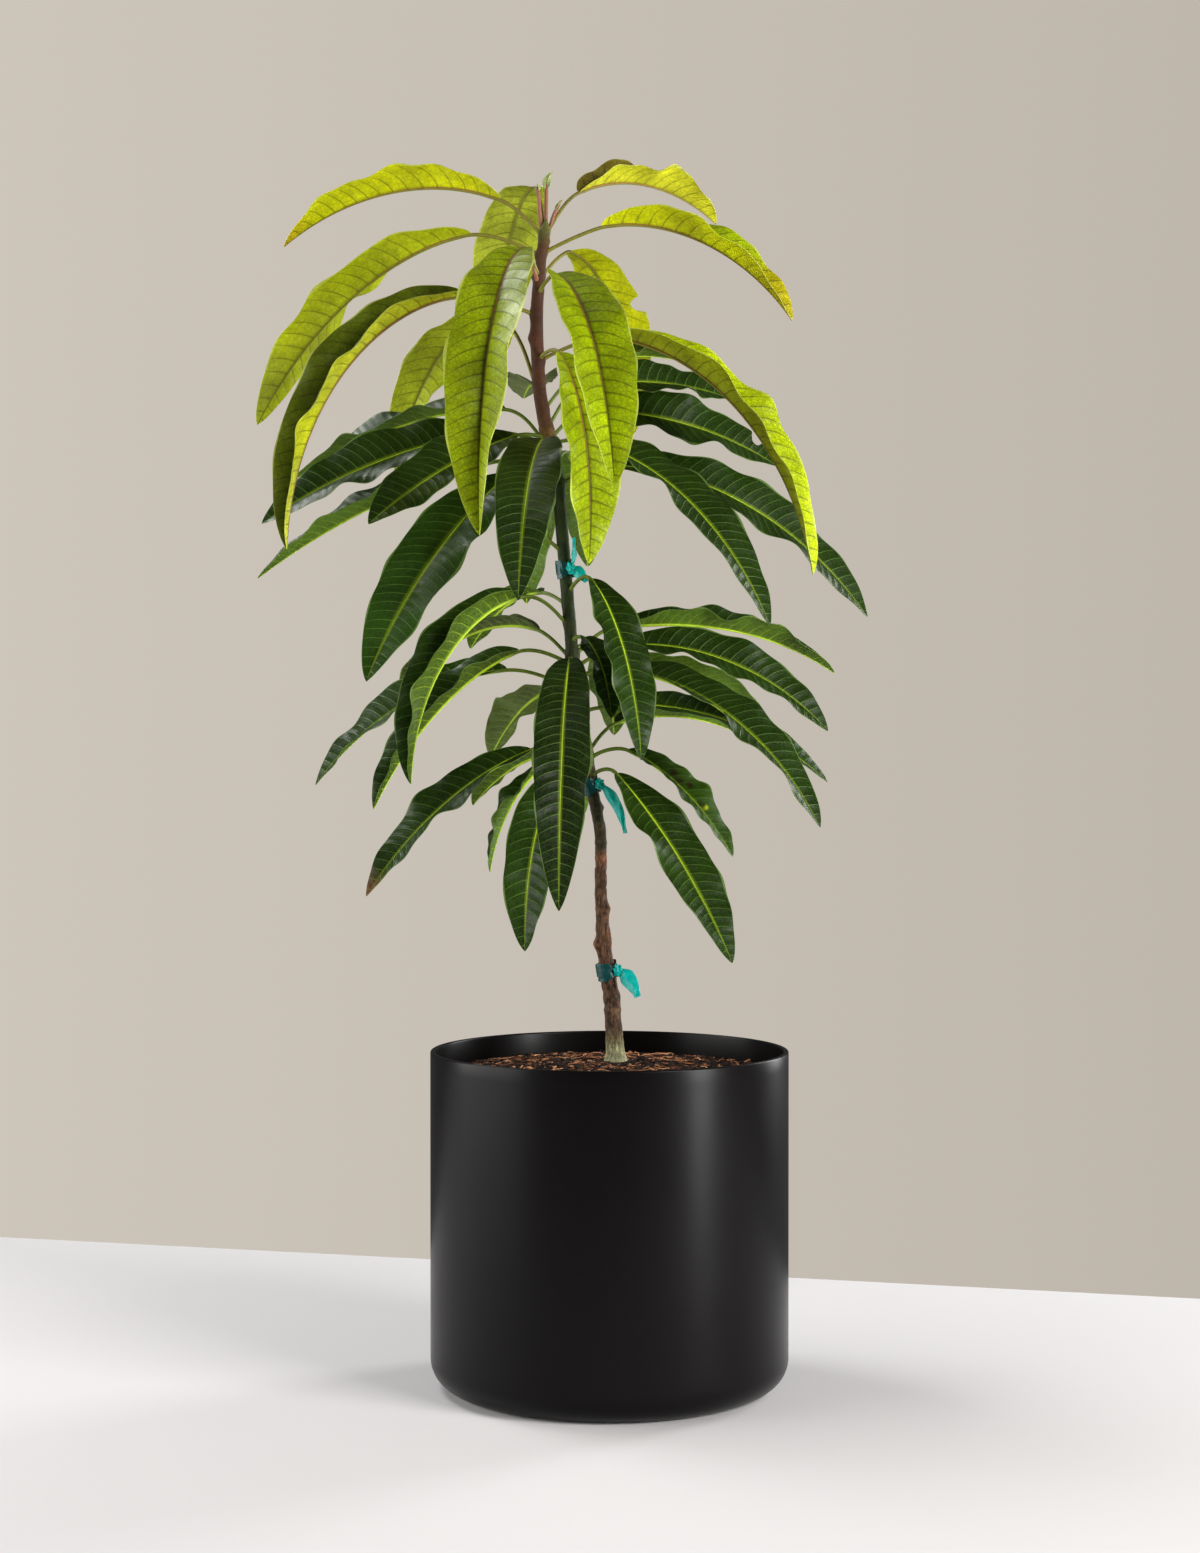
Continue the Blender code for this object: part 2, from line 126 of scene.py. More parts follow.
# One tie: its height on the stem, the side of its knot and its tails
Tie = namedtuple("Tie", "name height turn tails")
TIES = [
    Tie("tie_top", 0.638, 300, [Tail(290, 62, 30, 0.024, 0.006), Tail(-30, -25, -30, 0.018, 0.008)]),
    Tie("tie_middle", 0.469, 320, [Tail(325, -38, -42, 0.046, 0.008)]),
    Tie("tie_bottom", 0.323, 320, [Tail(325, -30, -35, 0.028, 0.011)]),
]

# One leaf: height on the stem, turn about the stem (0 is +X, 90 the back), the
# stalk's first angle above level (lift) and length, the blade's angle where it
# starts (rise) and ends (fall) and how early it bends (ease), its length and
# width, its sideways swing, its roll about the midrib with the change towards
# the tip (twist), the angle that each half is folded up at the base (fold) and
# the tip (fold_tip), and the height of the waves of its margin
Leaf = namedtuple(
    "Leaf",
    "name height turn lift stalk rise fall ease length width swing roll twist fold fold_tip wave",
    defaults=(0, 0, 0, 30, 20, 0.002),
)


def name_leaves(flush, rows):
    """The leaves of one flush, numbered in the order of their rows."""
    return [Leaf(f"{flush}_leaf_{k}", *row) for k, row in enumerate(rows, 1)]


TOP_LEAVES = name_leaves("top", [
    (0.900, 170, 48, 0.040, 26, -38, 0.8, 0.188, 0.050, 0, 0, 0, 45, 30),
    (0.884, 180, 25, 0.052, -2, -62, 0.55, 0.232, 0.056, -8, 5, 35, 36, 12),
    (0.838, 197, 12, 0.050, 8, -88, 0.55, 0.266, 0.054, 0, -25, 0, 46, 56),
    (0.785, 135, 68, 0.075, 20, -75, 0.5, 0.180, 0.052, 0, 0, 0, 12, 12),
    (0.902, 108, 75, 0.045, 30, -85, 0.5, 0.190, 0.054, 0, 0, 0, 10, 10),
    (0.868, 253, 30, 0.035, 5, -95, 0.42, 0.268, 0.062, 0, -6, 26, 14, 42),
    (0.855, 292, 20, 0.030, 0, -82, 0.5, 0.225, 0.058, 0, 0, 0, 24, 28),
    (0.803, 300, 15, 0.030, -35, -98, 0.6, 0.178, 0.051),
    (0.868, 56, 42, 0.042, 20, -95, 0.5, 0.185, 0.052, 0, 0, 0, 15, 10),
    (0.902, 42, 58, 0.047, 28, -28, 0.9, 0.158, 0.052, 0, 10, 0, 40, 35),
    (0.887, -8, 25, 0.045, 15, -56, 0.7, 0.176, 0.052, 0, -5, 30, 42, 35),
    (0.802, -20, 22, 0.050, 2, -80, 0.65, 0.270, 0.056, 0, 5, 0, 45, 27),
])

UPPER_LEAVES = name_leaves("upper", [
    (0.741, 158, 54, 0.040, 8, -30, 0.7, 0.200, 0.045, 0, -20, 0, 30, 25),
    (0.738, 180, 20, 0.040, -6, -34, 0.8, 0.195, 0.052, 0, -48, 0, 25, 20),
    (0.742, 218, 5, 0.025, -18, -38, 0.8, 0.156, 0.052, 0, -32, 0, 18, 15),
    (0.726, 172, 0, 0.045, -12, -36, 0.8, 0.208, 0.048, 0, -15, 0, 38, 30),
    (0.718, 226, 0, 0.045, -34, -62, 1.0, 0.220, 0.058, 0, -25, 0, 18, 15),
    (0.735, 264, 5, 0.030, -9, -75, 1.0, 0.208, 0.049, 0, 0, 0, 18, 15),
    (0.757, 97, 45, 0.045, 20, -8, 0.8, 0.130, 0.046),
    (0.735, -32, 10, 0.015, -5, -65, 0.7, 0.238, 0.052, 0, 15, 0, 20, 15),
    (0.706, 8, 25, 0.040, 3, -54, 0.75, 0.244, 0.054, 0, 45, 0, 22, 15),
    (0.742, 14, 50, 0.030, 8, -30, 0.8, 0.165, 0.052, 0, 50, 0, 20, 15),
    (0.752, 24, 62, 0.040, 15, -15, 0.9, 0.132, 0.046, 0, 40, 0, 25, 15),
    (0.765, 38, 50, 0.042, 28, -8, 1.0, 0.110, 0.042, 0, 15),
    (0.715, 102, 20, 0.040, -10, -80, 0.7, 0.140, 0.045),
    (0.720, 78, 30, 0.040, 0, -80, 0.7, 0.125, 0.044),
])

MIDDLE_LEAVES = name_leaves("middle", [
    (0.598, 208, 45, 0.038, -2, -88, 0.6, 0.188, 0.050, 0, -8, 0, 55, 60),
    (0.572, 155, 46, 0.030, 25, -60, 0.7, 0.155, 0.046),
    (0.566, 193, 25, 0.038, -12, -64, 0.5, 0.172, 0.046, 0, -15, 0, 40, 45),
    (0.546, 168, 25, 0.052, -2, -52, 0.8, 0.188, 0.045, 0, -35, 0, 30, 20),
    (0.542, 120, 10, 0.035, -5, -45, 0.8, 0.120, 0.042),
    (0.567, 267, 5, 0.030, -10, -88, 0.7, 0.240, 0.044, 0, 0, 0, 18, 12),
    (0.622, 304, 34, 0.030, -30, -84, 0.6, 0.160, 0.038, 0, 10, 0, 22, 15),
    (0.584, 295, 5, 0.018, -15, -80, 0.8, 0.085, 0.030),
    (0.573, 15, 45, 0.038, 6, -33, 1.3, 0.188, 0.046, 0, 10, 0, 42, 36),
    (0.563, -5, 32, 0.038, 5, -48, 0.9, 0.178, 0.046, 0, 40, 0, 25, 20),
    (0.553, -28, 20, 0.025, 0, -61, 0.8, 0.225, 0.050, 0, 15, 0, 25, 20),
    (0.527, 12, 10, 0.030, 2, -42, 1.0, 0.182, 0.046, 0, 30, 0, 20, 15),
    (0.560, 95, 10, 0.040, -10, -80, 0.7, 0.190, 0.048),
    (0.575, 66, 20, 0.030, -15, -85, 0.7, 0.090, 0.040),
    (0.553, 38, 25, 0.040, 5, -40, 0.8, 0.180, 0.046),
    (0.612, 128, 25, 0.030, 5, -45, 0.8, 0.110, 0.040),
])

LOWER_LEAVES = name_leaves("lower", [
    (0.498, 192, 8, 0.038, -18, -57, 0.7, 0.175, 0.042, 0, -30, 0, 25, 20),
    (0.489, 216, 5, 0.035, -25, -80, 0.7, 0.100, 0.028, 0, 0, 40, 35, 30),
    (0.485, 244, 0, 0.040, -20, -92, 0.6, 0.155, 0.042, 0, -10, 0, 20, 15),
    (0.492, -15, 22, 0.028, -18, -60, 0.6, 0.120, 0.042, 0, 15, 0, 20, 15),
    (0.478, -44, 20, 0.025, -38, -60, 0.9, 0.186, 0.048, 0, 15, 0, 20, 15),
    (0.497, 46, 45, 0.035, 15, -15, 0.8, 0.140, 0.042),
    (0.490, 100, 15, 0.040, -10, -75, 0.7, 0.150, 0.044),
    (0.492, 142, 10, 0.030, -5, -45, 0.8, 0.095, 0.038),
])

GROWN_LEAVES = UPPER_LEAVES + MIDDLE_LEAVES + LOWER_LEAVES

# Small new leaves at the bud and beside the stem, shown only
BUD_LEAVES = [
    Leaf("bud_leaf_1", 0.903, 150, 86, 0.030, 84, 84, 1.0, 0.006, 0.004, 0, 0, 0, 50, 40, 0.0003),
    Leaf("bud_leaf_2", 0.904, 84, 82, 0.032, 80, 50, 1.0, 0.017, 0.008, -60, 0, 0, 20, 30, 0.0003),
    Leaf("bud_leaf_3", 0.900, 40, 75, 0.020, 60, 50, 1.0, 0.012, 0.004, 0, 0, 0, 50, 30, 0.0003),
    Leaf("side_leaf_1", 0.655, 200, 35, 0.012, 75, 104, 1.0, 0.030, 0.012, 0, 50, 0, 20, 10, 0.0006),
    Leaf("bud_leaf_4", 0.864, 250, 40, 0.010, 60, 70, 1.0, 0.008, 0.005, 0, 0, 0, 50, 40, 0.0002),
]

# Fine leaf mesh: stations along the stalk and blade, columns across each half, sides of the rib,
# and how many stations of the blade make one of the rib
STALK_STEPS = 24
BLADE_STEPS = 144
HALF_COLUMNS = 9
RIB_SIDES = 8
RIB_EVERY = 2
# The blade's thickness at the midrib and at the margin
BLADE_MIDDLE_THICKNESS = 0.00055
BLADE_EDGE_THICKNESS = 0.00035
# The least half width of a blade where it starts and at its tip
BLADE_START_HALF_WIDTH = 0.0012
BLADE_TIP_HALF_WIDTH = 0.0004
# How closely the columns crowd to the margin
COLUMN_CROWDING = 0.92
# Rib and stalk: the swelling at the base, the plain stalk's radius and the rib's at its tip
STALK_SWELLING = 0.0009
STALK_SWELLING_LENGTH = 0.006
STALK_FINE_RADIUS = 0.0015
RIB_TIP_RADIUS = 0.00035
RIB_TAPER = 1.3
# The share of a half blade that its inner columns take for the rib at most
RIB_LARGEST_SHARE = 0.3
# How far the rib's centre hangs under the blade, as a share of its radius, and where on the blade it
# gets there, where the stalk's tint ends, and how softly the rib's two colours meet
RIB_DROP = 0.35
RIB_DROP_END = 0.06
STALK_TINT_END = 0.15
RIB_TINT_BLEND = 0.3
# Each half of the blade arches: its fold is this much steeper at the midrib and flatter at the margin
HALF_ARCH = 0.35
# Side veins: how far they lean to the tip, straight and curved, their spacing and their relief
VEIN_LEAN = 0.24
VEIN_CURVE = 0.34
YOUNG_VEIN_SPACING = 0.0108
GROWN_VEIN_SPACING = 0.0082
VEIN_UNEVENNESS = 0.12
QUILT_HEIGHT = 0.00035
# Where the relief between the veins rises at the midrib and falls at the margin
QUILT_RISE = (0.05, 0.3)
QUILT_FALL = (1.0, 0.75)
# The crisp small waves of the margin: height, count along the blade, and drift of their spacing
EDGE_WAVE = 0.0011
EDGE_WAVES = 6.5
EDGE_DRIFT = 0.8
# Irregular waves of the margin, their usual length, and how much the outline itself swells and shrinks
MARGIN_WANDER = 0.0030
WANDER_LENGTH = 0.045
OUTLINE_WANDER = 0.06
# Blades narrower than this have smaller ripples
RIPPLE_FULL_WIDTH = 0.026
# How much a blade's brightness changes along it and across it, and from leaf to leaf
SHADE_ALONG = 0.16
SHADE_ACROSS = 0.08
LEAF_SHADES = (0.92, 1.1)
# The part of the blade's length over which a tip's tint grows, and the soft edge of a spot in radii
TIP_BLEND = 0.25
SPOT_EDGE = (1.5, 0.6)

# The rounded corner where a stalk leaves the stem, and how deep its root sits inside
STALK_CORNER = 0.006
STALK_CORNER_STEPS = 6
STALK_ROOT_DEPTH = 0.004
# Where a leaf's faces lie on its bake map, and the scale of its flat pattern map
MAP_MARGIN = 0.01
TOP_MAP_MIDDLE = 0.23
UNDER_MAP_MIDDLE = 0.68
BLADE_MAP_HALF = 0.21
RIB_MAP_START = 0.91
RIB_MAP_HEIGHT = 0.08
FLAT_SCALE = 10
# The part of a bake map's width in use, and a place that takes up the whole map
MAP_WIDTH = 1 - 2 * MAP_MARGIN
WHOLE_MAP = (MAP_MARGIN, MAP_MARGIN, MAP_WIDTH, MAP_WIDTH)

# Fine stem mesh
STEM_FINE_SIDES = 44
STEM_FINE_STEP = 0.0011

# Fine pot and soil
POT_FINE_SIDES = 192
SOIL_FINE_SIDES = 160
SOIL_RINGS = 64
CHIP_COUNT = 4200
FIBRE_COUNT = 520


def rgb(red, green, blue):
    """A colour of 0 to 255 values as linear light."""
    return tuple(((value / 255 + 0.055) / 1.055) ** 2.4 if value > 10 else value / 255 / 12.92
                 for value in (red, green, blue))


# Colours
# The wall is painted lighter on the left than on the right: a painted fall-off of the light across it
WALL_LEFT = rgb(205, 197, 186)
WALL_RIGHT = rgb(191, 183, 172)
FLOOR_COLOR = rgb(219, 217, 218)
POT_COLOR = rgb(10, 8, 9)
# The pot's inner wall is darker than its outside: painted shade inside the pot
POT_INSIDE_PAINTED_SHADE = rgb(6, 5, 5)
YOUNG_TOP = rgb(156, 178, 6)
# The young leaves' under colour is their own pale green brightened by a painted glow of light shining through
# the blade
YOUNG_UNDER_AND_GLOW = rgb(210, 216, 6)
YOUNG_RIB_TOP = rgb(150, 92, 66)
YOUNG_RIB_UNDER = rgb(122, 130, 34)
YOUNG_VEIN = rgb(62, 58, 8)
# The young margin's pale colour: partly the leaf's own pale edge, partly a painted rim highlight
YOUNG_EDGE_AND_HIGHLIGHT = rgb(212, 222, 110)
GROWN_TOP = rgb(25, 44, 5)
GROWN_UNDER = rgb(68, 98, 25)
GROWN_RIB = rgb(176, 206, 44)
GROWN_VEIN = rgb(98, 134, 54)
# The grown margin's pale colour: partly the leaf's own pale edge, partly a painted rim highlight
GROWN_EDGE_AND_HIGHLIGHT = rgb(118, 146, 74)
GREY_TOP = rgb(96, 104, 74)
ORANGE_TINT = rgb(206, 176, 14)
# A darker copy of the young top colour: painted shade on top_leaf_3's upper face inside its fold
OLIVE_PAINTED_SHADE = rgb(92, 108, 14)
PURPLE_BROWN = rgb(136, 122, 40)
# A lighter copy of the young top colour: painted light on the lit face of top_leaf_12
PAINTED_LIT_LIME = rgb(180, 200, 8)
DEAD_BROWN = rgb(92, 52, 34)
YOUNG_STALK = rgb(118, 116, 44)
GROWN_STALK = rgb(64, 80, 24)
STALK_SHARE = 0.85
TAPE_COLOR = rgb(6, 176, 168)
# The tape's colour darkened for its wraps round the stem: painted shade
BAND_PAINTED_SHADE = rgb(2, 64, 64)

# How one leaf is coloured: its faces, its rib above and below, its stalk, and a tint that
# grows from a share of the blade's length to the tip
Look = namedtuple("Look", "top under rib_top rib_under stalk tip tip_from", defaults=(None, 1.0))
YOUNG_LOOK = Look(YOUNG_TOP, YOUNG_UNDER_AND_GLOW, YOUNG_RIB_TOP, YOUNG_RIB_UNDER, YOUNG_STALK)
GROWN_LOOK = Look(GROWN_TOP, GROWN_UNDER, GROWN_RIB, GROWN_RIB, GROWN_STALK)
BUD_LOOK = YOUNG_LOOK._replace(top=rgb(168, 182, 110), under=rgb(182, 190, 104), rib_top=rgb(150, 104, 84),
                               rib_under=rgb(136, 92, 70), stalk=rgb(150, 100, 80))
# Either look with some of its values changed
young, grown = YOUNG_LOOK._replace, GROWN_LOOK._replace
LEAF_LOOKS = {
    # The under colours of the top leaves below carry the same painted glow of light shining through them, all
    # but top_leaf_12's
    "top_leaf_1": young(under=rgb(198, 202, 6), tip=ORANGE_TINT, tip_from=0.8),
    "top_leaf_2": young(under=rgb(186, 198, 14)),
    # top_leaf_3's upper face is darkened: painted shade inside its fold
    "top_leaf_3": young(top=OLIVE_PAINTED_SHADE, under=rgb(204, 210, 34)),
    "top_leaf_4": young(under=rgb(178, 192, 30)),
    "top_leaf_5": young(top=rgb(112, 126, 36), under=rgb(180, 190, 52)),
    "top_leaf_6": young(top=rgb(146, 166, 8)),
    "top_leaf_7": young(top=rgb(146, 168, 4)),
    "top_leaf_10": young(top=PURPLE_BROWN, under=rgb(206, 206, 36)),
    "top_leaf_11": young(tip=rgb(190, 180, 10), tip_from=0.6),
    # top_leaf_12's top is painted lighter, as lit, and its underside darker, without the painted glow of the
    # other young leaves
    "top_leaf_12": young(under=rgb(150, 158, 10), top=PAINTED_LIT_LIME),
    "upper_leaf_5": grown(top=rgb(34, 60, 10)),
    "upper_leaf_6": grown(top=rgb(22, 38, 5)),
    "upper_leaf_7": grown(top=GREY_TOP, under=GREY_TOP),
    "middle_leaf_1": grown(under=rgb(48, 73, 15)),
    "middle_leaf_2": grown(top=rgb(64, 66, 50), under=rgb(58, 68, 40)),
    "middle_leaf_3": grown(under=rgb(50, 74, 20)),
    # middle_leaf_5's grey-green faces are painted sheen over the leaf's dark green
    "middle_leaf_5": grown(top=rgb(120, 132, 84), under=rgb(82, 98, 50)),
    "middle_leaf_6": grown(top=rgb(16, 28, 4)),
    "lower_leaf_1": grown(tip=DEAD_BROWN, tip_from=0.84),
    "lower_leaf_4": grown(top=rgb(44, 70, 12)),
    "side_leaf_1": grown(top=rgb(120, 138, 84), under=rgb(112, 134, 74)),
}

# Bites out of a blade's margin: the side (1 left, -1 right), the place as a share of
# the blade's length, and the bite's half length and depth as shares
Bite = namedtuple("Bite", "side place half_length depth")
BITES = {
    "top_leaf_9": Bite(-1, 0.42, 0.035, 0.42),
    "upper_leaf_10": Bite(1, 0.86, 0.03, 0.5),
}

# Spots on a blade: the leaf's share of length, signed share of half width, radius and colour
Spot = namedtuple("Spot", "along across radius color")
SPOT_BROWN = rgb(36, 8, 9)
SPOTS = {
    "lower_leaf_4": [Spot(0.33, 0.35, 0.0036, SPOT_BROWN), Spot(0.40, 0.22, 0.0032, SPOT_BROWN),
                     Spot(0.46, 0.42, 0.0028, SPOT_BROWN), Spot(0.60, 0.05, 0.0030, SPOT_BROWN),
                     Spot(0.64, 0.28, 0.0018, rgb(190, 200, 20))],
    "top_leaf_2": [Spot(0.22, -0.30, 0.0022, rgb(226, 232, 60))],
}


def smooth_step(low, high, value):
    """0 at low, 1 at high, and smooth between, also where low is the larger."""
    share = np.clip((value - low) / (high - low), 0.0, 1.0)
    return share * share * (3 - 2 * share)


# How much the waves of a random curve differ in length
WANDER_STRETCH = (0.6, 1.7)


def wander(rng, x, waves, length):
    """A slow random curve over x: a few sines of about the given wave length."""
    total = np.zeros_like(x)
    for _ in range(waves):
        stretch = rng.uniform(*WANDER_STRETCH)
        total = total + np.sin(2 * pi * x / (length * stretch) + rng.uniform(0, 2 * pi)) * stretch
    return total / waves


def add_object(name, data):
    """A new object of the scene, round its data."""
    made = bpy.data.objects.new(name, data)
    bpy.context.scene.collection.objects.link(made)
    return made


class Shape:
    """Grids of points gathered into one mesh, with a tint for each point and maps for each corner."""

    def __init__(self):
        self.points = []
        self.tints = []
        self.faces = []
        self.slots = []
        self.maps = {"OFBake": [], "veins": [], "flat": []}
        self.count = 0

    def add_points(self, points, tints):
        """Points with their tints; gives the number of the first one."""
        first = self.count
        points = np.asarray(points, float).reshape(-1, 3)
        self.points.append(points)
        self.tints.append(np.broadcast_to(np.asarray(tints, float), points.shape))
        self.count += len(points)
        return first

    def add_faces(self, faces, slot, corners=None):
        """Faces of equal size; corners gives the map values of their corners, 0 where it is None."""
        faces = np.asarray(faces, int)
        self.faces.extend(faces.tolist())
        self.slots.append(np.broadcast_to(slot, len(faces)))
        for name, values in self.maps.items():
            if corners and name in corners:
                values.append(np.asarray(corners[name], float).reshape(-1, 2))
            else:
                values.append(np.zeros((faces.size, 2)))

    def build(self, name, materials, sharp_angle, maps=True):
        """One object of all that was gathered, smooth but for edges over an angle."""
        mesh = bpy.data.meshes.new(name)
        mesh.from_pydata(np.concatenate(self.points), [], self.faces)
        mesh.polygons.foreach_set("material_index", np.concatenate(self.slots).astype(np.int32))
        mesh.attributes.new("tint", "FLOAT_VECTOR", "POINT").data.foreach_set(
            "vector", np.concatenate(self.tints).astype(np.float32).ravel())
        if maps:
            for map_name, values in self.maps.items():
                layer = mesh.uv_layers.new(name=map_name)
                layer.uv.foreach_set("vector", np.concatenate(values).astype(np.float32).ravel())
        for material in materials:
            mesh.materials.append(material)
        mesh.shade_smooth()
        mesh.set_sharp_from_angle(angle=radians(sharp_angle))
        mesh.validate()
        return add_object(name, mesh)


def grid_corners(rows, columns, flip=False):
    """The corners of a tube's quads, as their rows and columns; a column can equal columns."""
    row, column = np.meshgrid(np.arange(rows - 1), np.arange(columns), indexing="ij")
    corner_rows = row.reshape(-1, 1) + np.array([0, 0, 1, 1])
    corner_columns = column.reshape(-1, 1) + np.array([0, 1, 1, 0])
    if flip:
        return corner_rows[:, ::-1], corner_columns[:, ::-1]
    return corner_rows, corner_columns


def add_grid(shape, points, tints, slot, flip=False, bake=None):
    """A tube through rows of points, with its tints, its ends closed, and its bake map.

    bake gives the left, low, width and height of its place on the map: rows run
    along the width and columns up the height.
    """
    rows, columns = points.shape[:2]
    first = shape.add_points(points, np.broadcast_to(tints, points.shape).reshape(-1, 3))
    corner_rows, corner_columns = grid_corners(rows, columns, flip)
    maps = None
    if bake:
        left, low, width, height = bake
        maps = {"OFBake": np.stack([left + width * corner_rows / (rows - 1),
                                    low + height * corner_columns / columns], axis=2)}
    shape.add_faces(first + corner_rows * columns + corner_columns % columns, slot, maps)
    start = np.arange(first, first + columns)
    end = start + (rows - 1) * columns
    shape.add_faces([(start if flip else start[::-1]).tolist()], slot)
    shape.add_faces([(end[::-1] if flip else end).tolist()], slot)


# The range that most values of a noise lie in
NOISE_SPREAD = (0.3, 0.7)


class Nodes:
    """Short ways to add and join the nodes of one tree."""

    def __init__(self, tree):
        self.tree = tree

    def add(self, kind, inputs=None, **settings):
        """A new node with its settings, and with values or links for its inputs."""
        node = self.tree.nodes.new(kind)
        for key, value in settings.items():
            setattr(node, key, value)
        for key, value in (inputs or {}).items():
            self.put(node.inputs[key], value)
        return node

    def put(self, socket, value):
        """Link an output to the socket, or set its plain value."""
        if isinstance(value, bpy.types.NodeSocket):
            self.tree.links.new(value, socket)
        elif isinstance(value, tuple) and len(value) == 3 and len(socket.default_value) == 4:
            socket.default_value = (*value, 1.0)
        else:
            socket.default_value = value

    def math(self, operation, first, second=0.0):
        """The result of one operation on one or two values."""
        return self.add("ShaderNodeMath", {0: first, 1: second}, operation=operation).outputs[0]

    def mix(self, factor, first, second, blend="MIX"):
        """Two colours blended by a factor."""
        node = self.add("ShaderNodeMix", {"Factor": factor}, data_type="RGBA", blend_type=blend)
        colors = [socket for socket in node.inputs if socket.type == "RGBA"]
        self.put(colors[0], first)
        self.put(colors[1], second)
        return [socket for socket in node.outputs if socket.type == "RGBA"][0]

    def fit(self, value, low, high, new_low=0.0, new_high=1.0, kind="SMOOTHSTEP"):
        """Map a range to another one, clamped, and smoothly unless the kind says otherwise."""
        return self.add("ShaderNodeMapRange", {0: value, 1: low, 2: high, 3: new_low, 4: new_high},
                        interpolation_type=kind).outputs[0]

    def noise(self, where, scale, detail=3.0, roughness=0.55):
        return self.add("ShaderNodeTexNoise", {"Vector": where, "Scale": scale, "Detail": detail,
                                               "Roughness": roughness}).outputs[0]

    def mottle(self, where, scale, detail, low, high, roughness=0.55):
        """Noise whose usual values are mapped to a range."""
        return self.fit(self.noise(where, scale, detail, roughness), *NOISE_SPREAD, low, high)

    def cracks(self, where, scale, width):
        """Lines of a width along the edges between random cells."""
        node = self.add("ShaderNodeTexVoronoi", {"Vector": where, "Scale": scale},
                        feature="DISTANCE_TO_EDGE")
        return self.fit(node.outputs[0], 0.0, width, 1.0, 0.0)

    def split(self, vector):
        """The first two parts of a vector."""
        node = self.add("ShaderNodeSeparateXYZ", {0: vector})
        return node.outputs[0], node.outputs[1]


class Coating(Nodes):
    """The nodes of one new material, round its shader."""

    def __init__(self, name):
        self.material = bpy.data.materials.new(name)
        self.material.use_nodes = True
        super().__init__(self.material.node_tree)
        self.shader = self.tree.nodes["Principled BSDF"]

    def set(self, **inputs):
        """Fill inputs of the shader, whose names have _ for each space."""
        for key, value in inputs.items():
            self.put(self.shader.inputs[key.replace("_", " ")], value)

    def bump(self, height, strength, distance):
        node = self.add("ShaderNodeBump", {"Height": height, "Strength": strength, "Distance": distance})
        self.set(Normal=node.outputs[0])

    def tint(self):
        return self.add("ShaderNodeAttribute", attribute_name="tint").outputs["Color"]

    def map(self, name):
        return self.add("ShaderNodeUVMap", uv_map=name).outputs[0]

    def place(self):
        return self.add("ShaderNodeTexCoord").outputs["Object"]


# The scales of a blade's patterns on its flat map: uneven vein widths, the two nets of fine veins,
# blotches, grain, patches of gloss and relief; and how strongly the finer net shows
VEIN_SCALE = 9.0
NET_SCALE = 30.0
FINE_NET_SCALE = 68.0
BLOTCH_SCALE = 3.2
GRAIN_SCALE = 26.0
GLOSS_SCALE = 7.0
RELIEF_SCALE = 20.0
FINE_NET_SHARE = 0.35
# One kind of blade face: the colours of its veins, margin and midrib strip, the veins' width as a share of
# their spacing, how strongly the veins, margin, net and midrib strip show, its roughness and gloss, and
# the relief of the veins. On young faces the midrib strip is painted shade in the crease along the
# midrib, and on all faces the pale margin is partly a painted rim highlight
Face = namedtuple("Face", "name vein edge rib width vein_share edge_share net_share rib_share "
                          "roughness gloss relief")
# On young faces the strip along the midrib takes the dark vein colour: painted shade in the crease of the
# fold
YOUNG_FACE = Face("young_face", YOUNG_VEIN, YOUNG_EDGE_AND_HIGHLIGHT, YOUNG_VEIN,
                  0.15, 0.62, 0.5, 0.42, 0.75, 0.40, 0.20, 0.8)
YOUNG_BACK = Face("young_back", YOUNG_VEIN, YOUNG_EDGE_AND_HIGHLIGHT, YOUNG_VEIN,
                  0.13, 0.50, 0.5, 0.26, 0.45, 0.50, 0.20, 1.0)
GROWN_FACE = Face("grown_face", GROWN_VEIN, GROWN_EDGE_AND_HIGHLIGHT, GROWN_RIB,
                  0.075, 0.50, 0.5, 0.08, 0.25, 0.38, 0.16, 0.8)
GROWN_BACK = Face("grown_back", GROWN_RIB, GROWN_EDGE_AND_HIGHLIGHT, GROWN_RIB,
                  0.085, 0.35, 0.6, 0.12, 0.25, 0.50, 0.20, 1.0)


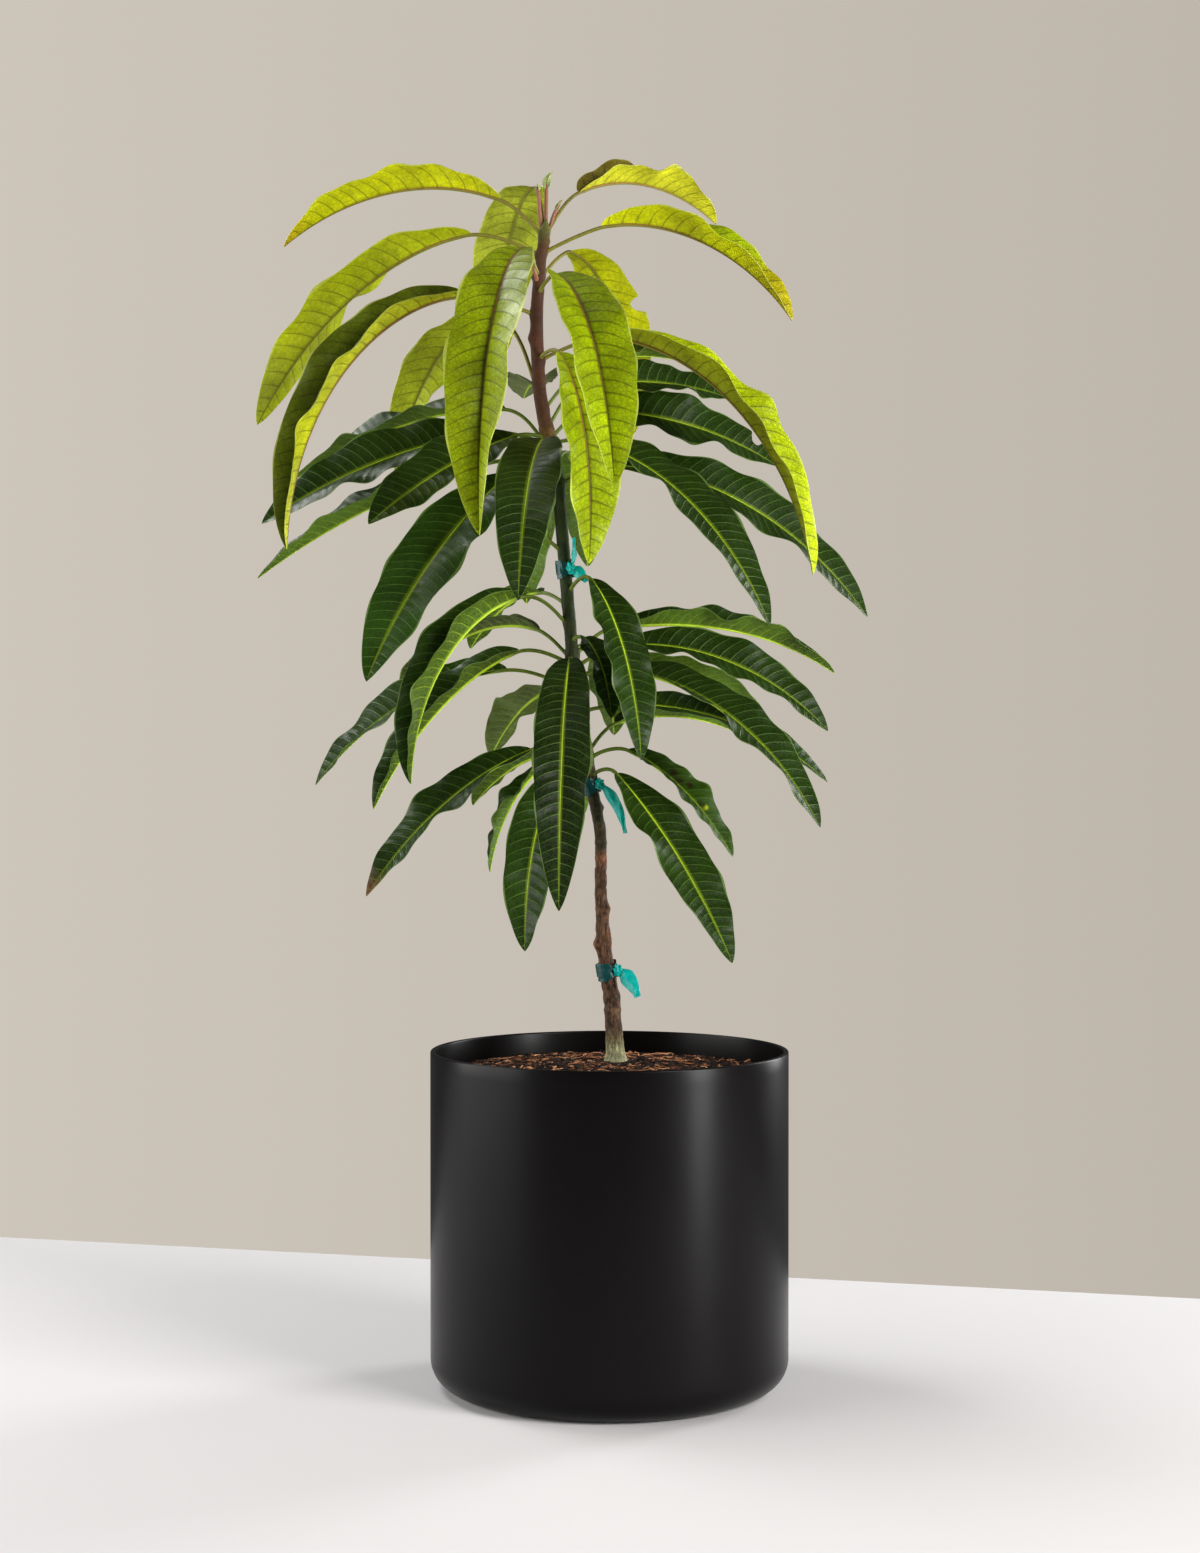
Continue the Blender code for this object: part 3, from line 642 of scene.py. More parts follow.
def blade_material(face):
    """A leaf's face: tinted base, side veins, a net of fine veins, a strip along the midrib (painted crease
    shade on young faces), and a pale margin that is partly a painted rim highlight.
    """
    made = Coating(face.name)
    phase, share = made.split(made.map("veins"))
    flat = made.map("flat")
    across = made.math("ABSOLUTE", share)
    from_vein = made.math("ABSOLUTE", made.math("SUBTRACT", made.math("FRACT", phase), 0.5))
    width = made.math("MULTIPLY", made.fit(across, 0.1, 1.0, face.width, face.width / 2),
                      made.mottle(flat, VEIN_SCALE, 3.0, 0.7, 1.3))
    line = made.math("MULTIPLY", made.fit(from_vein, 0.0, width, 1.0, 0.0),
                     made.fit(across, 0.8, 1.0, 1.0, 0.35))
    fine = made.math("MULTIPLY", made.cracks(flat, FINE_NET_SCALE, 0.3), FINE_NET_SHARE)
    net = made.math("MAXIMUM", made.cracks(flat, NET_SCALE, 0.2), fine)
    shade = made.math("MULTIPLY", made.mottle(flat, BLOTCH_SCALE, 3.0, 0.8, 1.2),
                      made.mottle(flat, GRAIN_SCALE, 3.0, 0.9, 1.1))
    color = made.mix(1.0, made.tint(), shade, "MULTIPLY")
    # The strip beside the midrib: the pale midrib on grown faces, painted shade in the crease on young faces
    rib_colour_and_crease_shade = made.fit(across, 0.03, 0.13, 1.0, 0.0)
    # The pale margin: partly the leaf's own edge colour, partly a painted rim highlight
    pale_margin_and_highlight = made.fit(across, 0.955, 0.985)
    for mask, strength, over in ((net, face.net_share, face.vein), (line, face.vein_share, face.vein),
                                 (rib_colour_and_crease_shade, face.rib_share, face.rib), (pale_margin_and_highlight, face.edge_share, face.edge)):
        color = made.mix(made.math("MULTIPLY", mask, strength), color, over)
    satin = made.fit(made.noise(flat, GLOSS_SCALE), 0.35, 0.65, face.roughness - 0.06, face.roughness + 0.09)
    ridges = made.math("ADD", made.math("MULTIPLY", line, face.relief),
                       made.math("MULTIPLY", net, face.relief / 5))
    relief = made.math("ADD", ridges, made.math("MULTIPLY", made.noise(flat, RELIEF_SCALE), 0.3))
    made.set(Base_Color=color, Roughness=satin, Specular_IOR_Level=face.gloss)
    made.bump(relief, 0.5, 0.0004)
    return made.material


def surface_material(name, color, satin, relief, gloss, color_roughness=0.55):
    """A tinted surface placed by the object's own axes.

    color and satin are the mottled brightness and roughness: a noise's scale and
    detail and its two ends. relief is a noise's scale and detail, and the bump's
    strength and distance.
    """
    made = Coating(name)
    where = made.place()
    shade = made.mottle(where, *color, color_roughness)
    made.set(Base_Color=made.mix(1.0, made.tint(), shade, "MULTIPLY"),
             Roughness=made.mottle(where, *satin), Specular_IOR_Level=gloss)
    made.bump(made.noise(where, *relief[:2]), *relief[2:])
    return made.material


def plain_material(name, roughness, scale, low, high, distance, strength=0.4):
    """A surface of one grain, whose colour, roughness and relief follow one scale."""
    satin = (scale / 2, 3.0, roughness - 0.08, roughness + 0.08)
    return surface_material(name, (scale, 5.0, low, high), satin, (scale * 2, 4.0, strength, distance),
                            gloss=0.25, color_roughness=0.6)


def stem_at(height):
    """The stem's centre and radius at a height, on a smooth curve through its rows."""
    rows = STEM_ROWS
    height = min(max(height, rows[0][0]), rows[-1][0])
    k = 0
    while k < len(rows) - 2 and height > rows[k + 1][0]:
        k += 1
    start, end = rows[k], rows[k + 1]
    before, after = rows[max(k - 1, 0)], rows[min(k + 2, len(rows) - 1)]
    span = end[0] - start[0]
    t = (height - start[0]) / span
    values = []
    for c in (1, 2, 3):
        slope_start = (end[c] - before[c]) / (end[0] - before[0])
        slope_end = (after[c] - start[c]) / (after[0] - start[0])
        values.append(
            (2 * t ** 3 - 3 * t ** 2 + 1) * start[c] + (t ** 3 - 2 * t ** 2 + t) * span * slope_start
            + (3 * t ** 2 - 2 * t ** 3) * end[c] + (t ** 3 - t ** 2) * span * slope_end
        )
    return Vector((values[0], values[1], height)), values[2]


def stem_direction(height):
    """The way the stem runs at a height."""
    reach = 0.004
    return (stem_at(height + reach)[0] - stem_at(height - reach)[0]).normalized()


def heading(turn, angle):
    """The direction that faces a turn and rises at an angle."""
    return Vector((cos(radians(angle)) * cos(radians(turn)), cos(radians(angle)) * sin(radians(turn)),
                   sin(radians(angle))))


def section_axes(angle, turn, roll):
    """The side and up axes across a heading, rolled about it."""
    forward = heading(turn, angle)
    side = Vector((-sin(radians(turn)), cos(radians(turn)), 0))
    up = forward.cross(side)
    turned = side * cos(radians(roll)) + up * sin(radians(roll))
    return turned, up * cos(radians(roll)) - side * sin(radians(roll))


def stalk_stations(leaf):
    """Points and axes from inside the stem to the blade, rounding the corner where the stalk leaves it."""
    centre, radius = stem_at(leaf.height)
    along = stem_direction(leaf.height)
    level = heading(leaf.turn, 0)
    outward = (level - along * level.dot(along)).normalized()
    start = centre + outward * (radius + GAP)
    point = start
    stations = []
    for i in range(1, STALK_STEPS + 1):
        t = i / STALK_STEPS
        angle = leaf.lift + (leaf.rise - leaf.lift) * (t - 0.5 / STALK_STEPS) ** 2
        point = point + heading(leaf.turn, angle) * leaf.stalk / STALK_STEPS
        stations.append((point, *section_axes(angle, leaf.turn, leaf.roll * t)))
    corner = [k for k, station in enumerate(stations) if (station[0] - start).length > STALK_CORNER][0]
    inside = centre - along * STALK_ROOT_DEPTH
    leave, side, up = stations[corner]
    rounded = []
    for i in range(STALK_CORNER_STEPS):
        t = i / STALK_CORNER_STEPS
        point = inside * (1 - t) ** 2 + start * 2 * t * (1 - t) + leave * t ** 2
        rounded.append((point, side, up))
    return rounded + stations[corner:]


def blade_half_width(leaf, s):
    """Half the blade's width at a share of its length."""
    peak = OUTLINE_BASE / (OUTLINE_BASE + OUTLINE_TIP)
    highest = peak ** OUTLINE_BASE * (1 - peak) ** OUTLINE_TIP
    share = s ** OUTLINE_BASE * (1 - s) ** OUTLINE_TIP / highest
    return max(leaf.width / 2 * share, BLADE_TIP_HALF_WIDTH if s > peak else BLADE_START_HALF_WIDTH)


def blade_stations(leaf, point):
    """Points and axes along the midrib, with their shares of the blade's length."""
    stations = []
    for i in range(1, BLADE_STEPS + 1):
        middle = (i - 0.5) / BLADE_STEPS
        angle = leaf.rise + (leaf.fall - leaf.rise) * middle ** leaf.ease
        turn = leaf.turn + leaf.swing * middle
        point = point + heading(turn, angle) * leaf.length / BLADE_STEPS
        roll = leaf.roll + leaf.twist * i / BLADE_STEPS
        stations.append((point, *section_axes(angle, turn, roll), i / BLADE_STEPS))
    return stations


def rib_radius(s):
    """The midrib's radius at a share of the blade's length."""
    return RIB_TIP_RADIUS + (STALK_FINE_RADIUS - RIB_TIP_RADIUS) * (1 - s) ** RIB_TAPER


def add_rib(shape, leaf, look, stalk, blade):
    """The round stalk and the midrib that runs on under the blade to its tip."""
    stations = [(*station, 0.0) for station in stalk] + blade[RIB_EVERY - 1::RIB_EVERY]
    angles = 2 * pi * np.arange(RIB_SIDES) / RIB_SIDES
    top = smooth_step(-RIB_TINT_BLEND, RIB_TINT_BLEND, np.sin(angles))[:, None]
    face = np.array(look.rib_top) * top + np.array(look.rib_under) * (1 - top)
    run = 0.0
    before = stations[0][0]
    rings = []
    tints = []
    for point, side, up, s in stations:
        run += (point - before).length
        before = point
        radius = rib_radius(s) + STALK_SWELLING * np.exp(-(run / STALK_SWELLING_LENGTH) ** 2)
        centre = point - up * radius * RIB_DROP * smooth_step(0.0, RIB_DROP_END, s)
        rings.append(np.array(centre) + np.outer(np.cos(angles), np.array(side)) * radius
                     + np.outer(np.sin(angles), np.array(up)) * radius)
        stalk_share = STALK_SHARE * (1 - smooth_step(0.0, STALK_TINT_END, s))
        tints.append(face * (1 - stalk_share) + np.array(look.stalk) * stalk_share)
    add_grid(shape, np.array(rings), np.array(tints), 2,
             bake=(MAP_MARGIN, RIB_MAP_START, MAP_WIDTH, RIB_MAP_HEIGHT))


def blade_columns(leaf, s, half, side):
    """Distances from the midrib to each column of one half at one station."""
    bite = BITES.get(leaf.name)
    if bite and bite.side == side:
        half = half * (1 - bite.depth * max(0.0, 1 - ((s - bite.place) / bite.half_length) ** 2) ** 0.5)
    rib = min(rib_radius(s), half * RIB_LARGEST_SHARE)
    shares = (np.arange(HALF_COLUMNS - 1) / (HALF_COLUMNS - 2)) ** COLUMN_CROWDING
    return np.concatenate([[0.0, rib * 0.5], rib + (half - rib) * shares])


# One half of a blade: its middle points and normals, its side veins' phases, and how far each
# point is from the midrib
Half = namedtuple("Half", "points normals phases distances")


def add_blade(shape, leaf, look, blade, rng):
    """The thin blade round its midrib: folded, arched, waved and quilted between its side veins."""
    shares = np.array([station[3] for station in blade])
    widths = np.array([blade_half_width(leaf, s) for s in shares])
    run = shares * leaf.length
    stretch = 1 + VEIN_UNEVENNESS * wander(rng, run, 3, leaf.length / 2)
    veins_run = np.cumsum(np.full(len(blade), leaf.length / len(blade)) * stretch)
    spacing = GROWN_VEIN_SPACING if leaf in GROWN_LEAVES else YOUNG_VEIN_SPACING
    fold = np.radians(leaf.fold + (leaf.fold_tip - leaf.fold) * shares)[:, None]
    big_wave = np.sin(2 * pi * MARGIN_WAVES * shares + radians(leaf.turn * MARGIN_SHIFT))[:, None]
    envelope = np.sin(pi * shares)[:, None] * min(leaf.width / RIPPLE_FULL_WIDTH, 1.0) ** 2
    halves = {}
    for sign in (1, -1):
        swell = 1 + OUTLINE_WANDER * wander(rng, run, 3, WANDER_LENGTH) * np.sin(pi * shares)
        distances = np.array([blade_columns(leaf, s, half, sign) for s, half in zip(shares, widths * swell)])
        part = distances / widths[:, None]
        small_phase = rng.uniform(0, 2 * pi) + EDGE_DRIFT * np.sin(2 * pi * shares)
        small_wave = np.sin(2 * pi * EDGE_WAVES * shares + small_phase)[:, None]
        wave = sign * leaf.wave * big_wave * envelope * part
        wave = wave + EDGE_WAVE * small_wave * envelope * part ** 3
        wave = wave + MARGIN_WANDER * wander(rng, run, 3, WANDER_LENGTH)[:, None] * envelope * part ** 2
        lean = distances * VEIN_LEAN + distances ** 2 / (leaf.width / 2) * VEIN_CURVE
        phases = (veins_run[:, None] - lean) / spacing + (0.5 if sign > 0 else 0.0)
        quilt = -QUILT_HEIGHT * np.cos(2 * pi * phases)
        quilt = quilt * smooth_step(*QUILT_RISE, part) * smooth_step(*QUILT_FALL, part)
        move = wave + quilt * envelope ** 0.5
        steep = fold * (1 + HALF_ARCH * (1 - 2 * part))
        step = np.diff(distances, axis=1, prepend=0.0)
        out = np.cumsum(np.cos(steep) * step, axis=1)
        lift = np.cumsum(np.sin(steep) * step, axis=1)
        points = np.empty((*distances.shape, 3))
        normals = np.empty_like(points)
        for k, (point, side, up, _) in enumerate(blade):
            outward, upward = np.array(side) * sign, np.array(up)
            normals[k] = np.outer(np.cos(steep[k]), upward) - np.outer(np.sin(steep[k]), outward)
            points[k] = (np.array(point) + np.outer(out[k], outward) + np.outer(lift[k], upward)
                         + normals[k] * move[k][:, None])
            normals[k, 0] = upward
        halves[sign] = Half(points, normals, phases, distances)
    add_blade_shell(shape, leaf, look, shares, widths, halves, rng)


def add_blade_shell(shape, leaf, look, shares, widths, halves, rng):
    """Join both halves, above and below, into one closed skin with its colours and maps."""
    across = np.arange(-HALF_COLUMNS, HALF_COLUMNS + 1)
    numbers = np.concatenate([across, across[::-1]])
    count, around = len(shares), len(numbers)
    upper = np.arange(around) < len(across)
    points = np.empty((count, around, 3))
    signed = np.empty((count, around))
    for c, number in enumerate(numbers):
        sign = 1 if number >= 0 else -1
        half, k = halves[sign], abs(number)
        thick = BLADE_MIDDLE_THICKNESS + (BLADE_EDGE_THICKNESS - BLADE_MIDDLE_THICKNESS) * (k / HALF_COLUMNS)
        points[:, c] = half.points[:, k] + half.normals[:, k] * (thick / 2 if upper[c] else -thick / 2)
        signed[:, c] = half.distances[:, k] * sign
    part = signed / widths[:, None]
    tints = blade_tints(leaf, look, shares, part, upper, rng)
    first = shape.add_points(points, tints.reshape(-1, 3))
    rows, columns = grid_corners(count, around, flip=True)
    middle = (columns.min(axis=1) + columns.max(axis=1)) / 2
    on_top = (middle < len(across)) | (middle > around - 1)
    columns = columns % around
    left = (numbers[columns].sum(axis=1) > 0)[:, None]
    k = np.abs(numbers[columns])
    phase = np.where(left, halves[1].phases[rows, k], halves[-1].phases[rows, k])
    along, away = shares[rows], signed[rows, columns]
    map_middle = np.where(on_top, TOP_MAP_MIDDLE, UNDER_MAP_MIDDLE)[:, None]
    shape.add_faces(first + rows * around + columns, np.where(on_top, 0, 1), {
        "veins": np.stack([phase, part[rows, columns]], axis=2),
        "flat": np.stack([along * leaf.length, away], axis=2) * FLAT_SCALE,
        "OFBake": np.stack([MAP_MARGIN + along * MAP_WIDTH,
                            map_middle + away / (leaf.width / 2) * BLADE_MAP_HALF], axis=2),
    })
    start = np.arange(first, first + around)
    shape.add_faces([start.tolist()], 0)
    shape.add_faces([(start + (count - 1) * around)[::-1].tolist()], 0)


def blade_tints(leaf, look, shares, part, upper, rng):
    """Colours over one blade, above and below, with slow changes along it and a tinted tip."""
    along = SHADE_ALONG * wander(rng, shares, 3, 0.5)[:, None]
    shade = (1 + along + SHADE_ACROSS * wander(rng, part, 2, 1.3)) * rng.uniform(*LEAF_SHADES)
    colors = np.where(upper[None, :, None], np.array(look.top), np.array(look.under)) * shade[:, :, None]
    for spot in SPOTS.get(leaf.name, []):
        away = np.hypot((shares[:, None] - spot.along) * leaf.length, (part - spot.across) * leaf.width / 2)
        near = smooth_step(*(spot.radius * edge for edge in SPOT_EDGE), away)[:, :, None]
        colors = colors * (1 - near) + np.array(spot.color) * near
    if look.tip:
        tipped = smooth_step(look.tip_from, min(look.tip_from + TIP_BLEND, 1.0), shares)[:, None, None]
        colors = colors * (1 - tipped) + np.array(look.tip) * tipped
    return np.clip(colors, 0, 1)


def make_leaf(leaf, look, materials, node=True):
    """One leaf with its stalk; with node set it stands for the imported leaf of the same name."""
    rng = random.Random(leaf.name)
    shape = Shape()
    stalk = stalk_stations(leaf)
    blade = blade_stations(leaf, stalk[-1][0])
    add_blade(shape, leaf, look, blade, rng)
    add_rib(shape, leaf, look, stalk, blade)
    piece = shape.build(leaf.name + "_fine", materials, 60)
    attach(piece, BODY)
    if node:
        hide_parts(leaf.name)


def level_rings(profile, sides):
    """Rings of points about the Z axis from a profile of radius and height."""
    angles = 2 * pi * np.arange(sides) / sides
    profile = np.asarray(profile, float)
    rings = np.empty((len(profile), sides, 3))
    rings[:, :, 0] = np.outer(profile[:, 0], np.cos(angles))
    rings[:, :, 1] = np.outer(profile[:, 0], np.sin(angles))
    rings[:, :, 2] = profile[:, 1][:, None]
    return rings


def arc(centre_r, centre_z, radius, start, end, steps):
    """Points of a round corner in a turned profile, as radius and height."""
    angles = np.radians(np.linspace(start, end, steps + 1))
    return list(zip(centre_r + radius * np.cos(angles), centre_z + radius * np.sin(angles)))


def straight(start, end, steps):
    """Points between two profile points, both left out."""
    return [tuple(np.array(start) + (np.array(end) - np.array(start)) * k / steps) for k in range(1, steps)]


# Colours and bark up the stem: height, colour, and how rough the bark is
STEM_TINTS = [
    (0.250, rgb(160, 160, 122), 0.6),
    (0.262, rgb(146, 144, 104), 0.7),
    (0.270, rgb(104, 88, 58), 1.0),
    (0.276, rgb(84, 64, 44), 1.0),
    (0.330, rgb(92, 60, 42), 1.0),
    (0.352, rgb(104, 72, 48), 1.0),
    (0.400, rgb(80, 56, 38), 0.9),
    (0.411, rgb(130, 82, 54), 0.7),
    (0.420, rgb(58, 52, 32), 0.5),
    (0.470, rgb(60, 54, 34), 0.5),
    (0.500, rgb(104, 94, 58), 0.6),
    (0.540, rgb(52, 52, 26), 0.4),
    (0.600, rgb(38, 48, 15), 0.3),
    (0.660, rgb(32, 46, 11), 0.15),
    (0.725, rgb(34, 48, 12), 0.12),
    (0.741, rgb(90, 66, 28), 0.4),
    (0.756, rgb(74, 43, 24), 0.2),
    (0.840, rgb(64, 35, 22), 0.15),
    (0.890, rgb(72, 48, 26), 0.15),
    (0.911, rgb(94, 104, 42), 0.1),
]
# Heights of the rings left by earlier flushes
RING_SCARS = [0.292, 0.412, 0.424, 0.502, 0.556, 0.741, 0.747, 0.866]
# The rings' width and height, the share of the height that lumps leave alone, and how much paler
# the rings are
RING_WIDTH = 0.0013
RING_HEIGHT = 0.0007
RING_EVENNESS = 0.6
RING_PALENESS = 0.25
# Knobs: height, turn, size and height above the bark
KNOBS = [(0.343, 200, 0.005, 0.0030), (0.303, 20, 0.0045, 0.0022), (0.372, 340, 0.004, 0.0018),
         (0.452, 10, 0.0032, 0.0016), (0.818, 190, 0.0045, 0.0020), (0.866, 150, 0.0032, 0.0018),
         (0.893, 330, 0.003, 0.0018)]
# Relief of the rough bark: the depth of its cracks, its lumps and its grain
BARK_DEPTH = 0.0009
BARK_LUMPS = 0.0007
BARK_GRAIN = 0.0002
# Noises of the bark: scale across and up the stem, and shift to the side and back
CRACKS = (420, 95, 0, 0)
LUMPS = (130, 120, 7, 0)
GRAIN = (900, 420, 0, 3)
# How sharp and how dark the cracks are, and how soon they show in full as the bark gets rougher; the
# darker cracks are partly the bark's own colour and partly painted shade in them
CRACK_SHARPNESS = 3.2
CRACK_DARKNESS = 0.62
CRACK_ONSET = 1.4
# How much the brightness follows the lumps (darker between them, partly painted shade), the grain (on
# smooth bark, and its growth with the roughness) and the paleness of the bumps
LUMP_SHADE = 0.45
GRAIN_SHADE = (0.2, 0.9)
BUMP_LIGHT = 0.8
# Old leaf scars: count, size, lowest place, the stretch of stem with them, height and paleness
SCAR_COUNT = 16
SCAR_SIZE = 0.0030
SCARS_FROM = 0.275
SCARS_REACH = 0.30
SCAR_HEIGHT = 0.0006
SCAR_PALENESS = 0.5
KNOB_PALENESS = 0.15
LEAF_SEAT_PALENESS = 0.1
# The swelling of the stem under each leaf's stalk
LEAF_SEAT_DROP = 0.001
LEAF_SEAT_SIZE = 0.0042
LEAF_SEAT_HEIGHT = 0.0011
# How much of the stem's width is left at its very top
STEM_TOP_SHARE = 0.3


def stem_bumps():
    """Knobs, old leaf scars and the seats of the leaves, as height, turn, size, height and paleness."""
    rng = random.Random("scars")
    bumps = [(*knob, KNOB_PALENESS) for knob in KNOBS]
    for k in range(SCAR_COUNT):
        height = SCARS_FROM + SCARS_REACH * (k + rng.random()) / SCAR_COUNT
        bumps.append((height, rng.uniform(0, 360), SCAR_SIZE, SCAR_HEIGHT, SCAR_PALENESS))
    for leaf in TOP_LEAVES + GROWN_LEAVES:
        height = leaf.height - LEAF_SEAT_DROP
        bumps.append((height, leaf.turn, LEAF_SEAT_SIZE, LEAF_SEAT_HEIGHT, LEAF_SEAT_PALENESS))
    return bumps


def bark_noise(x, y, height, across, up, shift_x, shift_y):
    """Noise of -1 to 1 at a point of the bark, stretched along the stem."""
    return noise.noise(Vector((x * across + shift_x, y * across + shift_y, height * up)))


def make_stem(material):
    """The stem with the relief of its bark, its scars and the seats of its leaves."""
    foot, top = STEM_ROWS[0][0], STEM_ROWS[-1][0]
    heights = np.linspace(foot, top, int((top - foot) / STEM_FINE_STEP) + 1)
    angles = 2 * pi * np.arange(STEM_FINE_SIDES) / STEM_FINE_SIDES
    levels, hues, roughness = zip(*STEM_TINTS)
    roughness = np.interp(heights, levels, roughness)
    colors = np.stack([np.interp(heights, levels, channel) for channel in zip(*hues)], axis=1)
    bumps = stem_bumps()
    points = np.empty((len(heights), STEM_FINE_SIDES, 3))
    tints = np.empty_like(points)
    for k, (height, rough) in enumerate(zip(heights, roughness)):
        centre, radius = stem_at(height)
        ring = sum(np.exp(-((height - level) / RING_WIDTH) ** 2) for level in RING_SCARS)
        lift, pale = np.zeros((2, STEM_FINE_SIDES))
        for level, turn, size, rise, paleness in bumps:
            if abs(height - level) < 3 * size:
                around = (angles - radians(turn) + pi) % (2 * pi) - pi
                near = np.exp(-((height - level) / size) ** 2 - (around * radius / size) ** 2)
                lift += rise * near
                pale += paleness * near
        for i, angle in enumerate(angles):
            x, y = radius * cos(angle), radius * sin(angle)
            crack = 1 - min(abs(bark_noise(x, y, height, *CRACKS)) * CRACK_SHARPNESS, 1.0)
            lump = bark_noise(x, y, height, *LUMPS)
            grain = bark_noise(x, y, height, *GRAIN)
            reach = (radius + rough * (lump * BARK_LUMPS - crack * BARK_DEPTH + grain * BARK_GRAIN)
                     + lift[i] + ring * RING_HEIGHT * (RING_EVENNESS + (1 - RING_EVENNESS) * lump))
            points[k, i] = (centre.x + reach * cos(angle), centre.y + reach * sin(angle), height)
            # Darker in the cracks and between the lumps: partly the bark's own colour, partly painted shade
            # in its hollows
            shade = 1 - CRACK_DARKNESS * crack * min(rough * CRACK_ONSET, 1)
            shade = shade * (1 + LUMP_SHADE * lump + (GRAIN_SHADE[0] + GRAIN_SHADE[1] * rough) * grain)
            light = (1 + BUMP_LIGHT * min(pale[i], 1.0)) * (1 + RING_PALENESS * min(ring, 1.0))
            tints[k, i] = colors[k] * max(shade, 0.1) * light
    points[-1] = np.array(stem_at(top)[0]) + (points[-1] - points[-1].mean(axis=0)) * STEM_TOP_SHARE
    shape = Shape()
    add_grid(shape, points, np.clip(tints, 0, 1), 0, bake=WHOLE_MAP)
    piece = shape.build("stem_fine", [material], 60)
    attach(piece, BODY)
    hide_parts("stem")


# Profiles start and end this far from the axis; then the pot's flat rings and the steps of its mesh
AXIS_RADIUS = 0.001
BASE_RINGS = (AXIS_RADIUS, 0.04, 0.08)
BASE_ROUND_STEPS = 14
WALL_STEPS = 24
RIM_STEPS = 5
INSIDE_STEPS = 8


def make_pot(material):
    """The pot's shell, with its thin rounded rim and the round of its base."""
    inner = POT_RADIUS - POT_WALL
    inner_round = POT_BASE_ROUND - POT_WALL
    rim_low = POT_HEIGHT - POT_RIM_ROUND
    profile = [(radius, 0.0) for radius in BASE_RINGS]
    profile += arc(POT_RADIUS - POT_BASE_ROUND, POT_BASE_ROUND, POT_BASE_ROUND, -90, 0, BASE_ROUND_STEPS)
    profile += straight((POT_RADIUS, POT_BASE_ROUND), (POT_RADIUS, rim_low), WALL_STEPS)
    profile += arc(POT_RADIUS - POT_RIM_ROUND, rim_low, POT_RIM_ROUND, 0, 90, RIM_STEPS)
    profile += arc(inner + POT_RIM_ROUND, rim_low, POT_RIM_ROUND, 90, 180, RIM_STEPS)
    profile += straight((inner, rim_low), (inner, POT_FLOOR + inner_round), INSIDE_STEPS)
    profile += arc(inner - inner_round, POT_FLOOR + inner_round, inner_round, 0, -90, INSIDE_STEPS)
    profile += [(AXIS_RADIUS, POT_FLOOR)]
    rings = level_rings(profile, POT_FINE_SIDES)
    # Rows of the inner wall take the darker tint: painted shade inside the pot
    inside = np.array([radius < inner + POT_RIM_ROUND / 2 for radius, _ in profile])
    inside &= np.arange(len(profile)) > len(profile) / 2
    tints = np.where(inside[:, None, None], POT_INSIDE_PAINTED_SHADE, POT_COLOR)
    shape = Shape()
    add_grid(shape, rings, tints, 0, bake=WHOLE_MAP)
    piece = shape.build("pot_shell", [material], 40)
    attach(piece, BODY)
    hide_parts("pot")


SOIL_OUTER = POT_RADIUS - POT_WALL - GAP
SOIL_DARK = rgb(24, 16, 13)
# The soil's uneven brightness: its strength, and the scale and layer of its noise
SOIL_SHADE = (0.5, 300, 2.0)
# Colours of the chips and fibres
SOIL_TINTS = [rgb(24, 15, 11), rgb(42, 26, 18), rgb(74, 45, 30), rgb(124, 78, 50), rgb(34, 24, 20),
              rgb(186, 132, 94), rgb(18, 12, 10)]
# Chips: length, how much the short ones outnumber the long ones, width and thickness as shares of
# the length, how high the middle lies as a share of the thickness, the steepest tilt and lean, how
# uneven the corners are, brightness, and free space round them
CHIP_LENGTH = (0.0018, 0.0060)
CHIP_SHORTNESS = 2.2
CHIP_WIDTH = (0.35, 0.8)
CHIP_THICKNESS = (0.12, 0.35)
CHIP_REST = 0.35
CHIP_TILT = 24
CHIP_LEAN = 0.35
CHIP_JITTER = (0.7, 1.1)
CHIP_SHADES = (0.7, 1.3)
CHIP_SPACE = 0.001
# Fibres: length, radius and its changes, points, bend, height over the soil with its changes,
# brightness, and free space round them
FIBRE_LENGTH = (0.008, 0.024)
FIBRE_RADIUS = 0.00028
FIBRE_THICKNESS = (0.7, 1.4)
FIBRE_STEPS = 5
FIBRE_BEND = 90
FIBRE_LIFT = (0.0012, 0.0010)
FIBRE_SHADES = (1.0, 1.9)
FIBRE_SPACE = 0.002
WALL_SPACE = 0.001
# Crumbs of the soil's top: height, scale and layer of each noise
CRUMBS = [(0.0020, 70, 1.0), (0.0016, 210, 4.0), (0.0008, 520, 9.0)]
# The soil turns smooth round the stem's foot between these distances from its axis, and rises a little
FOOT_CLEARING = (0.020, 0.011)
FOOT_LIFT = 0.0012
# The soil's innermost ring, and how far below its edge the first ring under it lies
SOIL_INNER = 0.0008
SOIL_EDGE_DROP = 0.010


def soil_level(x, y):
    """The soil's height: its mound with crumbs, and smooth round the stem's foot."""
    shoulder = (SOIL_EDGE_HEIGHT + SOIL_TOP_HEIGHT) / 2
    level = np.interp((x * x + y * y) ** 0.5, [0, SOIL_TOP_RADIUS, SOIL_SHOULDER_RADIUS, SOIL_OUTER],
                      [SOIL_TOP_HEIGHT, SOIL_TOP_HEIGHT, shoulder, SOIL_EDGE_HEIGHT])
    crumbs = sum(height * noise.noise(Vector((x * scale, y * scale, layer)))
                 for height, scale, layer in CRUMBS)
    _, foot_x, foot_y, _ = STEM_ROWS[0]
    near = float(smooth_step(*FOOT_CLEARING, ((x - foot_x) ** 2 + (y - foot_y) ** 2) ** 0.5))
    return level + crumbs * (1 - near) + FOOT_LIFT * near


